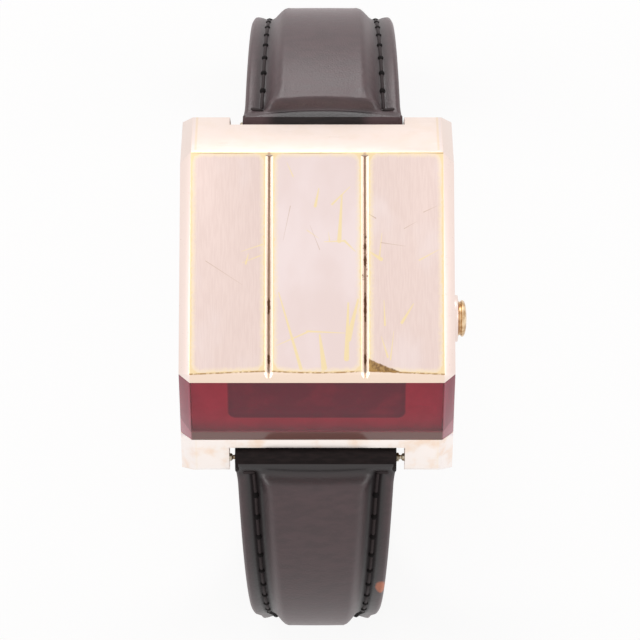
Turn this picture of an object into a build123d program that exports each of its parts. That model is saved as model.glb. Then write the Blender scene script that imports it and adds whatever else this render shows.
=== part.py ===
from build123d import *
import os
from math import atan2, ceil, cos, degrees, hypot, pi, radians, sin

os.makedirs("parts", exist_ok=True)

# A wristwatch of the kind read from the side while driving. Every piece is drawn round the
# case: X runs to the three o'clock side, Y to twelve o'clock, and z = 0 is the case back.
# The open strap curls down below it, and all pieces are lifted together when written.

# Case, seen from the side: the length, the height and the outline as shares of them
case_width = 31.0
case_length = 40.1
case_height = 13.8
edge_chamfer = 1.25
band_chamfer = 1.6
end_chamfer = 0.3
tip_low_share = (-0.5037, 0.0725)
tip_low_top_share = (-0.5025, 0.205)
lens_bottom_share = (-0.4282, 0.4623)
lens_top_share = (-0.2818, 0.9696)
crest_share = (-0.2594, 1.0)
crease_share = (0.3741, 0.8478)
tip_high_top_share = (0.4975, 0.4203)
tip_high_share = (0.5012, 0.0725)
under_share = 0.3691
overrun = 1.0

# Grooves between the three top panels
groove_place = 5.4
groove_width = 0.85
groove_run_out = 0.35

# Lugs, spring bars and the recesses that the strap's ends swing in
lug_width = 5.5
bar_inset = 1.15
bar_height = 3.2
bar_radius = 0.9
bar_wall = 0.25
bar_end_gap = 0.2
tip_radius = 0.45
tip_reach = 0.9
tip_travel = 0.9
tip_piston_length = 1.6
running_gap = 0.05
low_recess_radius = 2.35
high_recess_radius = 2.6
low_edge_inset = 1.93
high_edge_inset = 1.14

# Lens and display
lens_thickness = 1.5
seal_thickness = 0.15
lens_wall = 0.75
fit_gap = 0.05
window_side = 5.55
window_height = 5.4
window_drop = 0.5
seal_width = 0.6
digit_width = 2.1
digit_height = 3.4
digit_thick = 0.5
digit_pitch = 3.1
digit_count = 4
board_thick = 0.6
display_gap = 0.35
display_margin = 0.6

# Shell walls, cavity and back
top_wall = 1.2
side_wall = 2.9
end_wall = 6.45
back_side_ledge = 0.7
back_end_ledge = 1.5
back_thick = 1.0
gasket_thick = 0.25
back_gap = 0.1
back_round = 1.5
screw_radius = 0.45
screw_head_radius = 0.65
screw_head_thick = 0.5
screw_length = 2.4
screw_slot = 0.2
screw_side_inset = 1.1
screw_end_reach = 0.6

# Module: frame, cells, board and what is on it
module_gap = 0.2
module_low = 1.75
module_high = 6.3
module_front_gap = 4.1
cell_edge = 0.4
cell_height = 4.2
cell_gap = 0.1
cell_wall = 0.2
cell_back_gap = 7.4
cell_low = 1.85
cell_step = 0.35
contact_thick = 0.2
contact_width = 2.4
contact_length = 7.0
circuit_low = 6.65
circuit_thick = 0.8
circuit_inset = 0.6
chip_size = 7.0
chip_thick = 1.1
chip_place = 2.0
quartz_radius = 1.0
quartz_length = 6.0
quartz_back_inset = 3.4
trimmer_radius = 1.3
trimmer_thick = 1.0
trimmer_side_inset = 3.6
trimmer_back_inset = 4.0

# Button on the three o'clock side
button_place = -3.3
button_height = 6.3
button_radius = 2.1
button_proud = 1.27
button_sunk = 0.7
button_dome = 0.25
button_waist = 0.25
button_waist_depth = 0.14
button_gap = 0.12
button_travel = 0.6
stem_radius = 0.6
collar_width = 0.45
collar_proud = 0.5
collar_seat = 0.8
inner_wall = 0.9
spring_wire = 0.075
spring_radius = 1.25
spring_turns = 3
clip_radius = 1.15
clip_thick = 0.3
clip_gap = 0.1
button_seal_radius = 0.95
button_seal_thick = 0.45
blade_thick = 0.2
blade_width = 1.6
blade_height = 3.2

# Strap: widths, thicknesses and the curve of its middle line when the strap is open
strap_side_gap = 1.8
tail_width = 14.0
strap_thick = 2.2
lining_thick = 0.65
pad_root_rise = 1.6
stitch_inset = 2.7
edge_round = 0.25
root_angle = 20.0
bend_radius = 24.9
straight_length = 22.2
foot_radius = 13.0
high_length = 75.3
tail_gap = 7.95
high_shift = 0.64
low_shift = -0.15
wrap_radius = 1.9
pad_start = 2.6
lining_start = 3.0
pad_root = 6.0
pad_end = 60.0
taper_end = 75.0
low_taper_end = 62.0
tail_point = 8.0
tail_cheek_share = (0.64, 0.3)
station_step = 3.0
filler_inset = 0.5
filler_wall = 0.7
hole_radius = 0.8
hole_pitch = 6.0
hole_first = 22.0
hole_count = 6

# Keepers and buckle
keeper_length = 4.0
keeper_wall = 0.9
keeper_gap = 0.35
keeper_room = 2.5
fixed_keeper_place = 61.0
free_keeper_place = 48.0
keeper_travel = 8.0
buckle_wrap_radius = 1.3
buckle_bar_radius = 0.6
buckle_arm = 1.7
buckle_thick = 1.5
buckle_reach = 9.4
buckle_cross = 1.9
buckle_bar_sunk = 0.9
buckle_end_gap = 0.15
tang_width = 1.5
tang_thick = 0.75
tang_over = 0.4
tang_eye = 1.15
tang_slot_gap = 0.25
tang_lift = 0.2
buckle_corner = 2.6
buckle_skin = 0.5

# Places worked out from the sizes above


def profile_point(share):
    """A corner of the side outline, in Y and Z."""
    return (share[0] * case_length, share[1] * case_height)


lens_bottom = profile_point(lens_bottom_share)
lens_top = profile_point(lens_top_share)
crest = profile_point(crest_share)
crease = profile_point(crease_share)
lens_run = lens_top[0] - lens_bottom[0]
lens_climb = lens_top[1] - lens_bottom[1]
lens_length = hypot(lens_run, lens_climb)
lens_angle = degrees(atan2(lens_climb, lens_run))
top_slope = (crease[1] - crest[1]) / (crease[0] - crest[0])
side = case_width / 2
lug_gap = case_width - lug_width * 2
bar_place = case_length / 2 - bar_inset
bar_length = lug_gap - bar_end_gap * 2
low_edge_place = case_length / 2 - low_edge_inset
high_edge_place = case_length / 2 - high_edge_inset
window_width = case_width - window_side * 2
cavity_width = case_width - side_wall * 2
cavity_length = case_length - end_wall * 2
back_width = cavity_width + back_side_ledge * 2
back_length = cavity_length + back_end_ledge * 2
screw_along = cavity_width / 2 - screw_side_inset
screw_up = cavity_length / 2 + screw_end_reach
module_width = cavity_width - module_gap * 2
module_front = module_front_gap - cavity_length / 2
cell_radius = module_width / 4 - cell_edge
cell_apart = module_width / 2 - cell_wall
cell_place = cavity_length / 2 - cell_back_gap
strap_width = lug_gap - strap_side_gap
lens_depth = lens_thickness + seal_thickness


def lens_point(along, depth):
    """A place in Y and Z, up the lens from its lower edge and square into the case."""
    turn = radians(lens_angle)
    place_y = lens_bottom[0] + along * cos(turn) + depth * sin(turn)
    place_z = lens_bottom[1] + along * sin(turn) - depth * cos(turn)
    return (place_y, place_z)


def top_level(place_y, depth):
    """The height of a surface that lies below the top face."""
    return crest[1] + top_slope * (place_y - crest[0]) - depth


def lens_plane(along, depth, across=0):
    """A plane on the lens, with its own Z pointing out of the case and its X along the case."""
    place_y, place_z = lens_point(along, depth)
    turn = radians(lens_angle)
    return Plane(origin=(across, place_y, place_z), x_dir=(1, 0, 0), z_dir=(0, -sin(turn), cos(turn)))


# The watch stands on its open strap, whose halves curl down from the two bars
drop = bend_radius * cos(radians(root_angle)) + straight_length + foot_radius
case_lift = drop + strap_thick / 2 - bar_height
floor_level = -case_lift

# Strap: the middle line leaves the bar, bends down, runs straight, and turns onto the floor
bend_length = bend_radius * radians(90 - root_angle)
foot_start = bend_length + straight_length
foot_length = foot_radius * pi / 2
flat_start = foot_start + foot_length
bend_reach = bend_radius * (1 - sin(radians(root_angle)))
column_place = bar_place + bend_reach
flat_level = floor_level + strap_thick / 2


def strap_line(along):
    """Reach outwards, height and downward heading in degrees, at a length along the strap."""
    if along < bend_length:
        heading = root_angle + degrees(along / bend_radius)
        reach = bar_place + bend_radius * (sin(radians(heading)) - sin(radians(root_angle)))
        level = bar_height - bend_radius * (cos(radians(root_angle)) - cos(radians(heading)))
        return (reach, level, heading)
    top_of_straight = bar_height - bend_radius * cos(radians(root_angle))
    if along < foot_start:
        return (column_place, top_of_straight - (along - bend_length), 90)
    if along < flat_start:
        turn = (along - foot_start) / foot_radius
        reach = column_place - foot_radius * (1 - cos(turn))
        return (reach, flat_level + foot_radius * (1 - sin(turn)), 90 + degrees(turn))
    return (column_place - foot_radius - (along - flat_start), flat_level, 180)


def strap_plane(way, along, shift):
    """A plane square across the strap, with its own Y pointing to the strap's outer side."""
    reach, level, heading = strap_line(along)
    turn = radians(heading)
    return Plane(origin=(shift, way * reach, level), x_dir=(1, 0, 0), z_dir=(0, -cos(turn), way * sin(turn)))


def strap_breadth(along, taper):
    """Width of the strap, drawn in evenly until its taper ends."""
    share = min(along / taper, 1)
    return strap_width + (tail_width - strap_width) * share


def pad_height(along):
    """Rise of the padding, which swells quickly at the root and fades out down the strap."""
    if along < pad_root:
        return pad_root_rise * sin((along - pad_start) / (pad_root - pad_start) * pi / 2)
    if along > pad_end:
        return 0
    return pad_root_rise * cos((along - pad_root) / (pad_end - pad_root) * pi / 2) ** 0.6


# The origin is on the floor, midway between the outermost points on each side
strap_reach = column_place + strap_thick / 2 + pad_height(bend_length)
keeper_reach = column_place + strap_thick / 2 + keeper_room + keeper_wall
centre_x = button_proud / 2
centre_y = (keeper_reach - strap_reach) / 2
stand = Location((-centre_x, -centre_y, case_lift))


def write(piece, label):
    """Label a piece, stand it on the strap's feet and write its file."""
    placed = piece.part.moved(stand)
    placed.label = label
    export_step(placed, f"parts/{label}.step")


def side_box(low, high, x_low, x_high):
    """A private box between two corners in Y and Z, from one X to another."""
    size = (x_high - x_low, high[0] - low[0], high[1] - low[1])
    middle = ((x_high + x_low) / 2, (high[0] + low[0]) / 2, (high[1] + low[1]) / 2)
    return Pos(*middle) * Box(*size, mode=Mode.PRIVATE)


# Whole outer form of the case and lens, with its long edges bevelled
outline = [
    profile_point(tip_low_share),
    profile_point(tip_low_top_share),
    lens_bottom,
    lens_top,
    crest,
    crease,
    profile_point(tip_high_top_share),
    profile_point(tip_high_share),
    (under_share * case_length, 0),
    (-under_share * case_length, 0),
]


def inset_outline(points, depths):
    """The outline with each of its sides moved inwards by its own depth."""
    lines = []
    for index, start in enumerate(points):
        end = points[(index + 1) % len(points)]
        run = hypot(end[0] - start[0], end[1] - start[1])
        along = ((end[0] - start[0]) / run, (end[1] - start[1]) / run)
        inward = (along[1] * depths[index], -along[0] * depths[index])
        lines.append(((start[0] + inward[0], start[1] + inward[1]), along))
    corners = []
    for index, (start, along) in enumerate(lines):
        before, before_along = lines[index - 1]
        cross = before_along[0] * along[1] - before_along[1] * along[0]
        gap = (start[0] - before[0], start[1] - before[1])
        reach = (gap[0] * along[1] - gap[1] * along[0]) / cross
        corners.append((before[0] + before_along[0] * reach, before[1] + before_along[1] * reach))
    return corners


bevels = [end_chamfer] + [edge_chamfer] * 4 + [band_chamfer, end_chamfer, 0, 0, 0]
rim_outline = inset_outline(outline, bevels)
with BuildPart() as case_form:
    with BuildSketch(Plane.YZ.offset(-side + edge_chamfer)):
        with BuildLine():
            Polyline(*outline, close=True)
        make_face()
    extrude(amount=case_width - edge_chamfer * 2)
    for way in (-1, 1):
        with BuildSketch(Plane.YZ.offset(way * (side - edge_chamfer))):
            with BuildLine():
                Polyline(*outline, close=True)
            make_face()
        with BuildSketch(Plane.YZ.offset(way * side)):
            with BuildLine():
                Polyline(*rim_outline, close=True)
            make_face()
        loft(ruled=True)
print("case form volume", round(case_form.part.volume, 1))

# The lens is the outer layer of the sloping front, over its whole width
lens_slab = lens_plane(lens_length / 2, lens_thickness / 2) * Box(
    case_width + overrun * 2, lens_length - fit_gap * 2, lens_thickness
)
seat_slab = lens_plane(lens_length / 2, lens_thickness / 2 - overrun / 2) * Box(
    case_width + overrun * 2, lens_length, lens_thickness + overrun
)

with BuildPart() as lens:
    add(case_form.part)
    add(lens_slab, mode=Mode.INTERSECT)
write(lens, "lens")

# Cavity for the module, open at the back, with a ledge round it for the back plate
cavity_half = cavity_length / 2
front_low = lens_point(0, lens_depth + lens_wall)
front_climb = (-cavity_half - front_low[0]) * lens_climb / lens_run
front_slope = lens_climb / lens_run
ceiling_at_middle = crest[1] - top_slope * crest[0] - top_wall
front_at_middle = front_low[1] - front_low[0] * front_slope
ridge_y = (ceiling_at_middle - front_at_middle) / (front_slope - top_slope)
cavity_outline = [
    (-cavity_half, -overrun),
    (-cavity_half, front_low[1] + front_climb),
    (ridge_y, top_level(ridge_y, top_wall)),
    (cavity_half, top_level(cavity_half, top_wall)),
    (cavity_half, -overrun),
]
window_along = lens_length - window_drop - window_height / 2
recess_depth = back_thick + gasket_thick
button_wall = cavity_width / 2
button_floor = button_wall + inner_wall

with BuildPart() as case_shell:
    add(case_form.part)
    add(seat_slab, mode=Mode.SUBTRACT)
    with BuildSketch(Plane.YZ.offset(-cavity_width / 2)):
        with BuildLine():
            Polyline(*cavity_outline, close=True)
        make_face()
    extrude(amount=cavity_width, mode=Mode.SUBTRACT)
    with BuildSketch(Plane.XY):
        RectangleRounded(back_width, back_length, back_round)
    extrude(amount=recess_depth, mode=Mode.SUBTRACT)
    with BuildSketch(lens_plane(window_along, 0)):
        Rectangle(window_width, window_height)
    extrude(amount=-(lens_depth + lens_wall + overrun), mode=Mode.SUBTRACT)
    # Seat of the lens seal, a shallow frame round the window
    with BuildSketch(lens_plane(window_along, lens_thickness)):
        Rectangle(window_width + seal_width * 2, window_height + seal_width * 2 - window_drop)
    extrude(amount=-seal_thickness, mode=Mode.SUBTRACT)
    # Grooves between the top panels, running on to the crease and to the crest
    for way in (-1, 1):
        groove_front = crest[0] - groove_run_out
        groove_start = (way * groove_place, groove_front, top_level(groove_front, 0))
        groove_heading = (0, crease[0] - crest[0], crease[1] - crest[1])
        groove_plane = Plane(origin=groove_start, x_dir=(1, 0, 0), z_dir=groove_heading)
        with BuildSketch(groove_plane):
            Rectangle(groove_width / 2 ** 0.5, groove_width / 2 ** 0.5, rotation=45)
        extrude(amount=crease[0] - crest[0], mode=Mode.SUBTRACT)
    # Recesses between the lugs, where the strap's ends swing round the bars
    recesses = (
        (-1, low_recess_radius, low_edge_place),
        (1, high_recess_radius, high_edge_place),
    )
    for way, recess, edge in recesses:
        with BuildSketch(Plane.YZ.offset(-lug_gap / 2)):
            with Locations((way * bar_place, bar_height)):
                Circle(recess)
            with Locations((way * (edge + case_length / 4), case_height / 2)):
                Rectangle(case_length / 2, case_height * 2)
            with Locations((way * (bar_place + case_length / 4 - recess), bar_height / 2 - case_height / 2)):
                Rectangle(case_length / 2, bar_height + case_height)
        extrude(amount=lug_gap, mode=Mode.SUBTRACT)
        with BuildSketch(Plane.YZ.offset(-(lug_gap / 2 + tip_reach + fit_gap * 2))):
            with Locations((way * bar_place, bar_height)):
                Circle(tip_radius + running_gap)
        extrude(amount=lug_gap + (tip_reach + fit_gap * 2) * 2, mode=Mode.SUBTRACT)
    # Button seat, with the stem's and the seal's bores through the wall
    with BuildSketch(Plane.YZ.offset(button_floor)):
        with Locations((button_place, button_height)):
            Circle(button_radius + button_gap)
    extrude(amount=case_width, mode=Mode.SUBTRACT)
    with BuildSketch(Plane.YZ.offset(side - collar_seat)):
        with Locations((button_place, button_height)):
            Circle(button_radius + button_gap + collar_width)
    extrude(amount=case_width, mode=Mode.SUBTRACT)
    with BuildSketch(Plane.YZ.offset(button_wall - overrun)):
        with Locations((button_place, button_height)):
            Circle(stem_radius + running_gap)
    extrude(amount=inner_wall + overrun * 2, mode=Mode.SUBTRACT)
    with BuildSketch(Plane.YZ.offset(button_floor - button_seal_thick)):
        with Locations((button_place, button_height)):
            Circle(button_seal_radius)
    extrude(amount=button_seal_thick + overrun, mode=Mode.SUBTRACT)
    # Threaded holes for the back screws
    with Locations(Plane.XY.offset(recess_depth)):
        with GridLocations(screw_along * 2, screw_up * 2, 2, 2):
            Cylinder(
                screw_radius,
                screw_length,
                align=(Align.CENTER, Align.CENTER, Align.MIN),
                mode=Mode.SUBTRACT,
            )
write(case_shell, "case_shell")
print("case shell volume", round(case_shell.part.volume, 1), "solids", len(case_shell.part.solids()))

with BuildPart() as lens_seal:
    with BuildSketch(lens_plane(window_along, lens_thickness)):
        Rectangle(window_width + seal_width * 2, window_height + seal_width * 2 - window_drop)
        Rectangle(window_width, window_height - window_drop / 2, mode=Mode.SUBTRACT)
    extrude(amount=-seal_thickness)
write(lens_seal, "lens_seal")

# Display behind the window: a board with a row of digits, and a mask round them
board_depth = lens_depth + lens_wall + display_gap
with BuildPart() as display_board:
    with BuildSketch(lens_plane(window_along, board_depth)):
        Rectangle(window_width - display_margin * 2, window_height - display_margin * 2)
    extrude(amount=-board_thick)
write(display_board, "display_board")

with BuildPart() as led_digits:
    with BuildSketch(lens_plane(window_along, board_depth)):
        with GridLocations(digit_pitch, digit_height, digit_count, 1):
            Rectangle(digit_width, digit_height)
    extrude(amount=digit_thick)
write(led_digits, "led_digits")

with BuildPart() as display_mask:
    with BuildSketch(lens_plane(window_along, lens_depth + lens_wall)):
        Rectangle(window_width - fit_gap * 2, window_height - fit_gap * 2)
        Rectangle(digit_pitch * digit_count, digit_height + display_gap, mode=Mode.SUBTRACT)
    extrude(amount=lens_wall)
write(display_mask, "display_mask")

# Back plate, its gasket and its four screws
with BuildPart() as case_back:
    with BuildSketch(Plane.XY):
        RectangleRounded(back_width - back_gap * 2, back_length - back_gap * 2, back_round)
    extrude(amount=back_thick)
    with GridLocations(screw_along * 2, screw_up * 2, 2, 2):
        Cylinder(screw_radius + running_gap, back_thick, align=(Align.CENTER, Align.CENTER, Align.MIN),
                 mode=Mode.SUBTRACT)
        Cylinder(screw_head_radius + running_gap, screw_head_thick,
                 align=(Align.CENTER, Align.CENTER, Align.MIN), mode=Mode.SUBTRACT)
write(case_back, "case_back")

with BuildPart() as back_gasket:
    with BuildSketch(Plane.XY.offset(back_thick)):
        RectangleRounded(back_width - back_gap * 2, back_length - back_gap * 2, back_round)
        Rectangle(cavity_width, cavity_length, mode=Mode.SUBTRACT)
        with GridLocations(screw_along * 2, screw_up * 2, 2, 2):
            Circle(screw_radius + running_gap, mode=Mode.SUBTRACT)
    extrude(amount=gasket_thick)
write(back_gasket, "back_gasket")

with BuildPart() as back_screws:
    with GridLocations(screw_along * 2, screw_up * 2, 2, 2):
        Cylinder(screw_head_radius, screw_head_thick, align=(Align.CENTER, Align.CENTER, Align.MIN))
        Cylinder(screw_radius, screw_length, align=(Align.CENTER, Align.CENTER, Align.MIN))
    with GridLocations(screw_along * 2, screw_up * 2, 2, 2):
        Box(screw_head_radius * 2, screw_slot, screw_slot, align=(Align.CENTER, Align.CENTER, Align.MIN),
            mode=Mode.SUBTRACT)
write(back_screws, "back_screws")

# Module frame with two wells, the cells in them, and a pocket clear of the button's stem
module_back = cavity_half - module_gap
pocket_depth = button_travel + clip_thick + clip_gap * 3
pocket_low = (button_place - clip_radius - module_gap, button_height - clip_radius - module_gap)
pocket_high = (button_place + clip_radius + module_gap, button_height + clip_radius + module_gap)
blade_front = button_wall - pocket_depth
stem_pocket = side_box(pocket_low, pocket_high, blade_front - blade_thick * 2, button_wall)
with BuildPart() as module_frame:
    frame_low_corner = (module_front, module_low)
    frame_high_corner = (module_back, module_high)
    add(side_box(frame_low_corner, frame_high_corner, -module_width / 2, module_width / 2))
    add(stem_pocket, mode=Mode.SUBTRACT)
    with Locations(Plane.XY.offset(cell_low)):
        with Locations((-cell_apart / 2, cell_place), (cell_apart / 2, cell_place)):
            Cylinder(
                cell_radius + cell_gap,
                case_height,
                align=(Align.CENTER, Align.CENTER, Align.MIN),
                mode=Mode.SUBTRACT,
            )
write(module_frame, "module_frame")

for way, label in ((-1, "battery_left"), (1, "battery_right")):
    with BuildPart() as battery:
        with Locations((way * cell_apart / 2, cell_place, cell_low)):
            Cylinder(cell_radius, cell_height - cell_step, align=(Align.CENTER, Align.CENTER, Align.MIN))
            Cylinder(cell_radius - cell_step * 2, cell_height, align=(Align.CENTER, Align.CENTER, Align.MIN))
    write(battery, label)

contact_low = cell_low + cell_height
with BuildPart() as battery_contacts:
    with BuildSketch(Plane.XY.offset(contact_low)):
        with Locations((-cell_apart / 2, cell_place), (cell_apart / 2, cell_place)):
            Rectangle(contact_width, contact_length)
    extrude(amount=contact_thick)
    with BuildSketch(Plane.XY.offset(contact_low)):
        with Locations((-cell_apart / 2, cell_place), (cell_apart / 2, cell_place)):
            Rectangle(contact_width, contact_width / 2)
    extrude(amount=circuit_low - contact_low)
write(battery_contacts, "battery_contacts")

# Circuit board over the frame, with the chip, the quartz can and the trimmer
circuit_width = module_width - circuit_inset * 2
circuit_back = module_back - circuit_inset
circuit_top = circuit_low + circuit_thick
with BuildPart() as circuit_board:
    board_low_corner = (module_front, circuit_low)
    board_high_corner = (circuit_back, circuit_top)
    add(side_box(board_low_corner, board_high_corner, -circuit_width / 2, circuit_width / 2))
    add(stem_pocket, mode=Mode.SUBTRACT)
write(circuit_board, "circuit_board")

with BuildPart() as board_posts:
    with BuildSketch(Plane.XY.offset(module_high)):
        with Locations((-cell_apart / 2, module_front + overrun), (cell_apart / 2, module_front + overrun)):
            Circle(screw_head_radius)
    extrude(amount=circuit_low - module_high)
write(board_posts, "board_posts")

with BuildPart() as controller_chip:
    with BuildSketch(Plane.XY.offset(circuit_top)):
        with Locations((0, chip_place)):
            RectangleRounded(chip_size, chip_size, chip_thick / 4)
    extrude(amount=chip_thick)
write(controller_chip, "controller_chip")

with BuildPart() as quartz_can:
    with BuildSketch(Plane.YZ.offset(-quartz_length / 2)):
        with Locations((circuit_back - quartz_back_inset, circuit_top + quartz_radius)):
            Circle(quartz_radius)
    extrude(amount=quartz_length)
write(quartz_can, "quartz_can")

trimmer_across = circuit_width / 2 - trimmer_side_inset
trimmer_place = circuit_back - trimmer_back_inset
with BuildPart() as trimmer:
    with Locations((trimmer_across, trimmer_place, circuit_top)):
        Cylinder(trimmer_radius, trimmer_thick, align=(Align.CENTER, Align.CENTER, Align.MIN))
    with Locations((trimmer_across, trimmer_place, circuit_top + trimmer_thick)):
        Box(trimmer_radius * 2, screw_slot, screw_slot, mode=Mode.SUBTRACT)
write(trimmer, "trimmer")

# Springy blade that the button's stem pushes
with BuildPart() as switch_blade:
    low = (button_place - blade_width / 2, button_height - blade_width / 2)
    high = (button_place + blade_width / 2, circuit_top + blade_height / 4)
    add(side_box(low, high, blade_front - blade_thick, blade_front))
    foot_high = (button_place + blade_width / 2, circuit_top + blade_height / 4 + blade_thick)
    foot_low = (button_place - blade_width / 2, circuit_top + blade_height / 4)
    add(side_box(foot_low, foot_high, blade_front - blade_width, blade_front))
write(switch_blade, "switch_blade")

# Button: domed cap with a waist, its stem, spring, seal, retaining clip and the outer collar
button_low_x = side - button_sunk
cap_top = side + button_proud
waist_place = side + button_proud / 2
cap_outline = [
    (0, button_low_x),
    (button_radius, button_low_x),
    (button_radius, waist_place - button_waist / 2),
    (button_radius - button_waist_depth, waist_place),
    (button_radius, waist_place + button_waist / 2),
    (button_radius, cap_top - button_dome),
    (button_radius - button_dome, cap_top),
    (0, cap_top),
]
button_axis_plane = Plane(origin=(0, button_place, button_height), x_dir=(0, 1, 0), z_dir=(0, 0, -1))
clip_outer = button_wall - clip_gap
stem_end = blade_front + button_travel + fit_gap
with BuildPart() as button_cap:
    with BuildSketch(button_axis_plane):
        with BuildLine():
            Polyline(*cap_outline, close=True)
        make_face()
    revolve(axis=Axis((0, button_place, button_height), (1, 0, 0)))
    with BuildSketch(Plane.YZ.offset(stem_end)):
        with Locations((button_place, button_height)):
            Circle(stem_radius)
    extrude(amount=button_low_x - stem_end)
write(button_cap, "button_cap")
print("button cap", button_cap.part.bounding_box())

with BuildPart() as button_clip:
    with BuildSketch(Plane.YZ.offset(clip_outer - clip_thick)):
        with Locations((button_place, button_height)):
            Circle(clip_radius)
            Circle(stem_radius, mode=Mode.SUBTRACT)
        with Locations((button_place, button_height - clip_radius)):
            Rectangle(stem_radius, clip_radius, mode=Mode.SUBTRACT)
    extrude(amount=clip_thick)
write(button_clip, "button_clip")

with BuildPart() as button_seal:
    with BuildSketch(Plane.YZ.offset(button_floor - button_seal_thick)):
        with Locations((button_place, button_height)):
            Circle(button_seal_radius)
            Circle(stem_radius + running_gap, mode=Mode.SUBTRACT)
    extrude(amount=button_seal_thick)
write(button_seal, "button_seal")

with BuildPart() as button_collar:
    with BuildSketch(Plane.YZ.offset(side - collar_seat)):
        with Locations((button_place, button_height)):
            Circle(button_radius + button_gap + collar_width)
            Circle(button_radius + button_gap, mode=Mode.SUBTRACT)
    extrude(amount=collar_seat + collar_proud)
write(button_collar, "button_collar")

spring_length = button_low_x - button_floor
with BuildPart() as button_spring:
    with BuildLine():
        coil = Helix(
            pitch=(spring_length - spring_wire * 2) / spring_turns,
            height=spring_length - spring_wire * 2,
            radius=spring_radius,
            center=(button_floor + spring_wire, button_place, button_height),
            direction=(1, 0, 0),
        )
    with BuildSketch(Plane(origin=coil @ 0, z_dir=coil % 0)):
        Circle(spring_wire)
    sweep(is_frenet=True)
write(button_spring, "button_spring")
print("spring", round(button_spring.part.volume, 4), "length", round(spring_length, 3))

# Spring bars: a tube between the lugs with a sliding tip at each end
for way, name in ((1, "upper"), (-1, "lower")):
    with BuildPart() as bar:
        with BuildSketch(Plane.YZ.offset(-bar_length / 2)):
            with Locations((way * bar_place, bar_height)):
                Circle(bar_radius)
        extrude(amount=bar_length)
        for end in (-1, 1):
            with BuildSketch(Plane.YZ.offset(end * bar_length / 2)):
                with Locations((way * bar_place, bar_height)):
                    Circle(bar_radius - bar_wall)
            extrude(amount=-end * (tip_piston_length + tip_travel + bar_wall), mode=Mode.SUBTRACT)
    write(bar, name + "_bar")
    for end, place in ((-1, "left"), (1, "right")):
        piston_end = end * (bar_length / 2 - fit_gap)
        with BuildPart() as tip:
            with BuildSketch(Plane.YZ.offset(piston_end)):
                with Locations((way * bar_place, bar_height)):
                    Circle(bar_radius - bar_wall - running_gap)
            extrude(amount=-end * tip_piston_length)
            with BuildSketch(Plane.YZ.offset(piston_end)):
                with Locations((way * bar_place, bar_height)):
                    Circle(tip_radius)
            extrude(amount=end * (lug_gap / 2 + tip_reach - bar_length / 2 + fit_gap))
        write(tip, f"{name}_{place}_tip")


def strap_sections(way, shift, taper, start, end, under, over, inset, crowned):
    """A closed solid along the strap, flat below and crowned between the stitch lines above."""
    first = int(start / station_step) + 1
    last = ceil(end / station_step)
    stations = [start] + [index * station_step for index in range(first, last)] + [end]
    with BuildPart(mode=Mode.PRIVATE) as band:
        for along in stations:
            half = strap_breadth(along, taper) / 2 - inset
            rise = pad_height(max(along, pad_start)) if crowned else 0
            shoulder = half - (stitch_inset - inset if crowned else edge_round)
            with BuildSketch(strap_plane(way, along, shift)):
                with BuildLine():
                    Polyline((-shoulder, over), (-half, over - edge_round), (-half, under),
                             (half, under), (half, over - edge_round), (shoulder, over))
                    if rise > edge_round / 4:
                        ThreePointArc((shoulder, over), (0, over + rise), (-shoulder, over))
                    else:
                        Line((shoulder, over), (-shoulder, over))
                make_face()
        loft(ruled=True)
    return band.part


leather_under = -strap_thick / 2 + lining_thick
leather_over = strap_thick / 2
buckle_place = strap_line(high_length)[0]
buckle_level = floor_level + buckle_wrap_radius
frame_front = buckle_place - buckle_reach
tail_end = frame_front - tail_gap
low_length = flat_start + column_place - foot_radius + tail_end
print("buckle bar", buckle_place, "tail end", tail_end, "tail half", low_length, "case lift", case_lift)

# What is cut away from the tail: the corners beside its point, and the holes
tail_half = tail_width / 2
tail_cheek = (tail_half * tail_cheek_share[0], tail_point * tail_cheek_share[1])
with BuildPart() as tail_cut:
    with BuildSketch(Plane.XY.offset(floor_level - overrun)):
        with Locations((low_shift, tail_end)):
            Rectangle(tail_width + overrun * 2, tail_point * 2)
        with BuildLine():
            Polyline(
                (low_shift - tail_half, tail_end - tail_point),
                (low_shift - tail_cheek[0], tail_end - tail_cheek[1]),
                (low_shift, tail_end),
                (low_shift + tail_cheek[0], tail_end - tail_cheek[1]),
                (low_shift + tail_half, tail_end - tail_point),
                close=True,
            )
        make_face(mode=Mode.SUBTRACT)
    extrude(amount=strap_thick * 2)
    for index in range(hole_count):
        across = strap_plane(-1, low_length - hole_first - index * hole_pitch, low_shift)
        with BuildSketch(across.rotated((90, 0, 0))):
            Circle(hole_radius)
        extrude(amount=strap_thick, both=True)

# What is cut away at the buckle: the bar's bore and the slot for the tang
slot_half = tang_width / 2 + tang_slot_gap
with BuildPart() as buckle_cut:
    with BuildSketch(Plane.YZ.offset(high_shift - tail_half - overrun)):
        with Locations((buckle_place, buckle_level)):
            Circle(buckle_bar_radius + running_gap)
    extrude(amount=tail_width + overrun * 2)
    slot_low = (buckle_place - overrun * 2, floor_level - overrun)
    slot_high = (buckle_place + tang_eye + buckle_wrap_radius, floor_level + strap_thick * 2)
    add(side_box(slot_low, slot_high, high_shift - slot_half, high_shift + slot_half))

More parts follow.
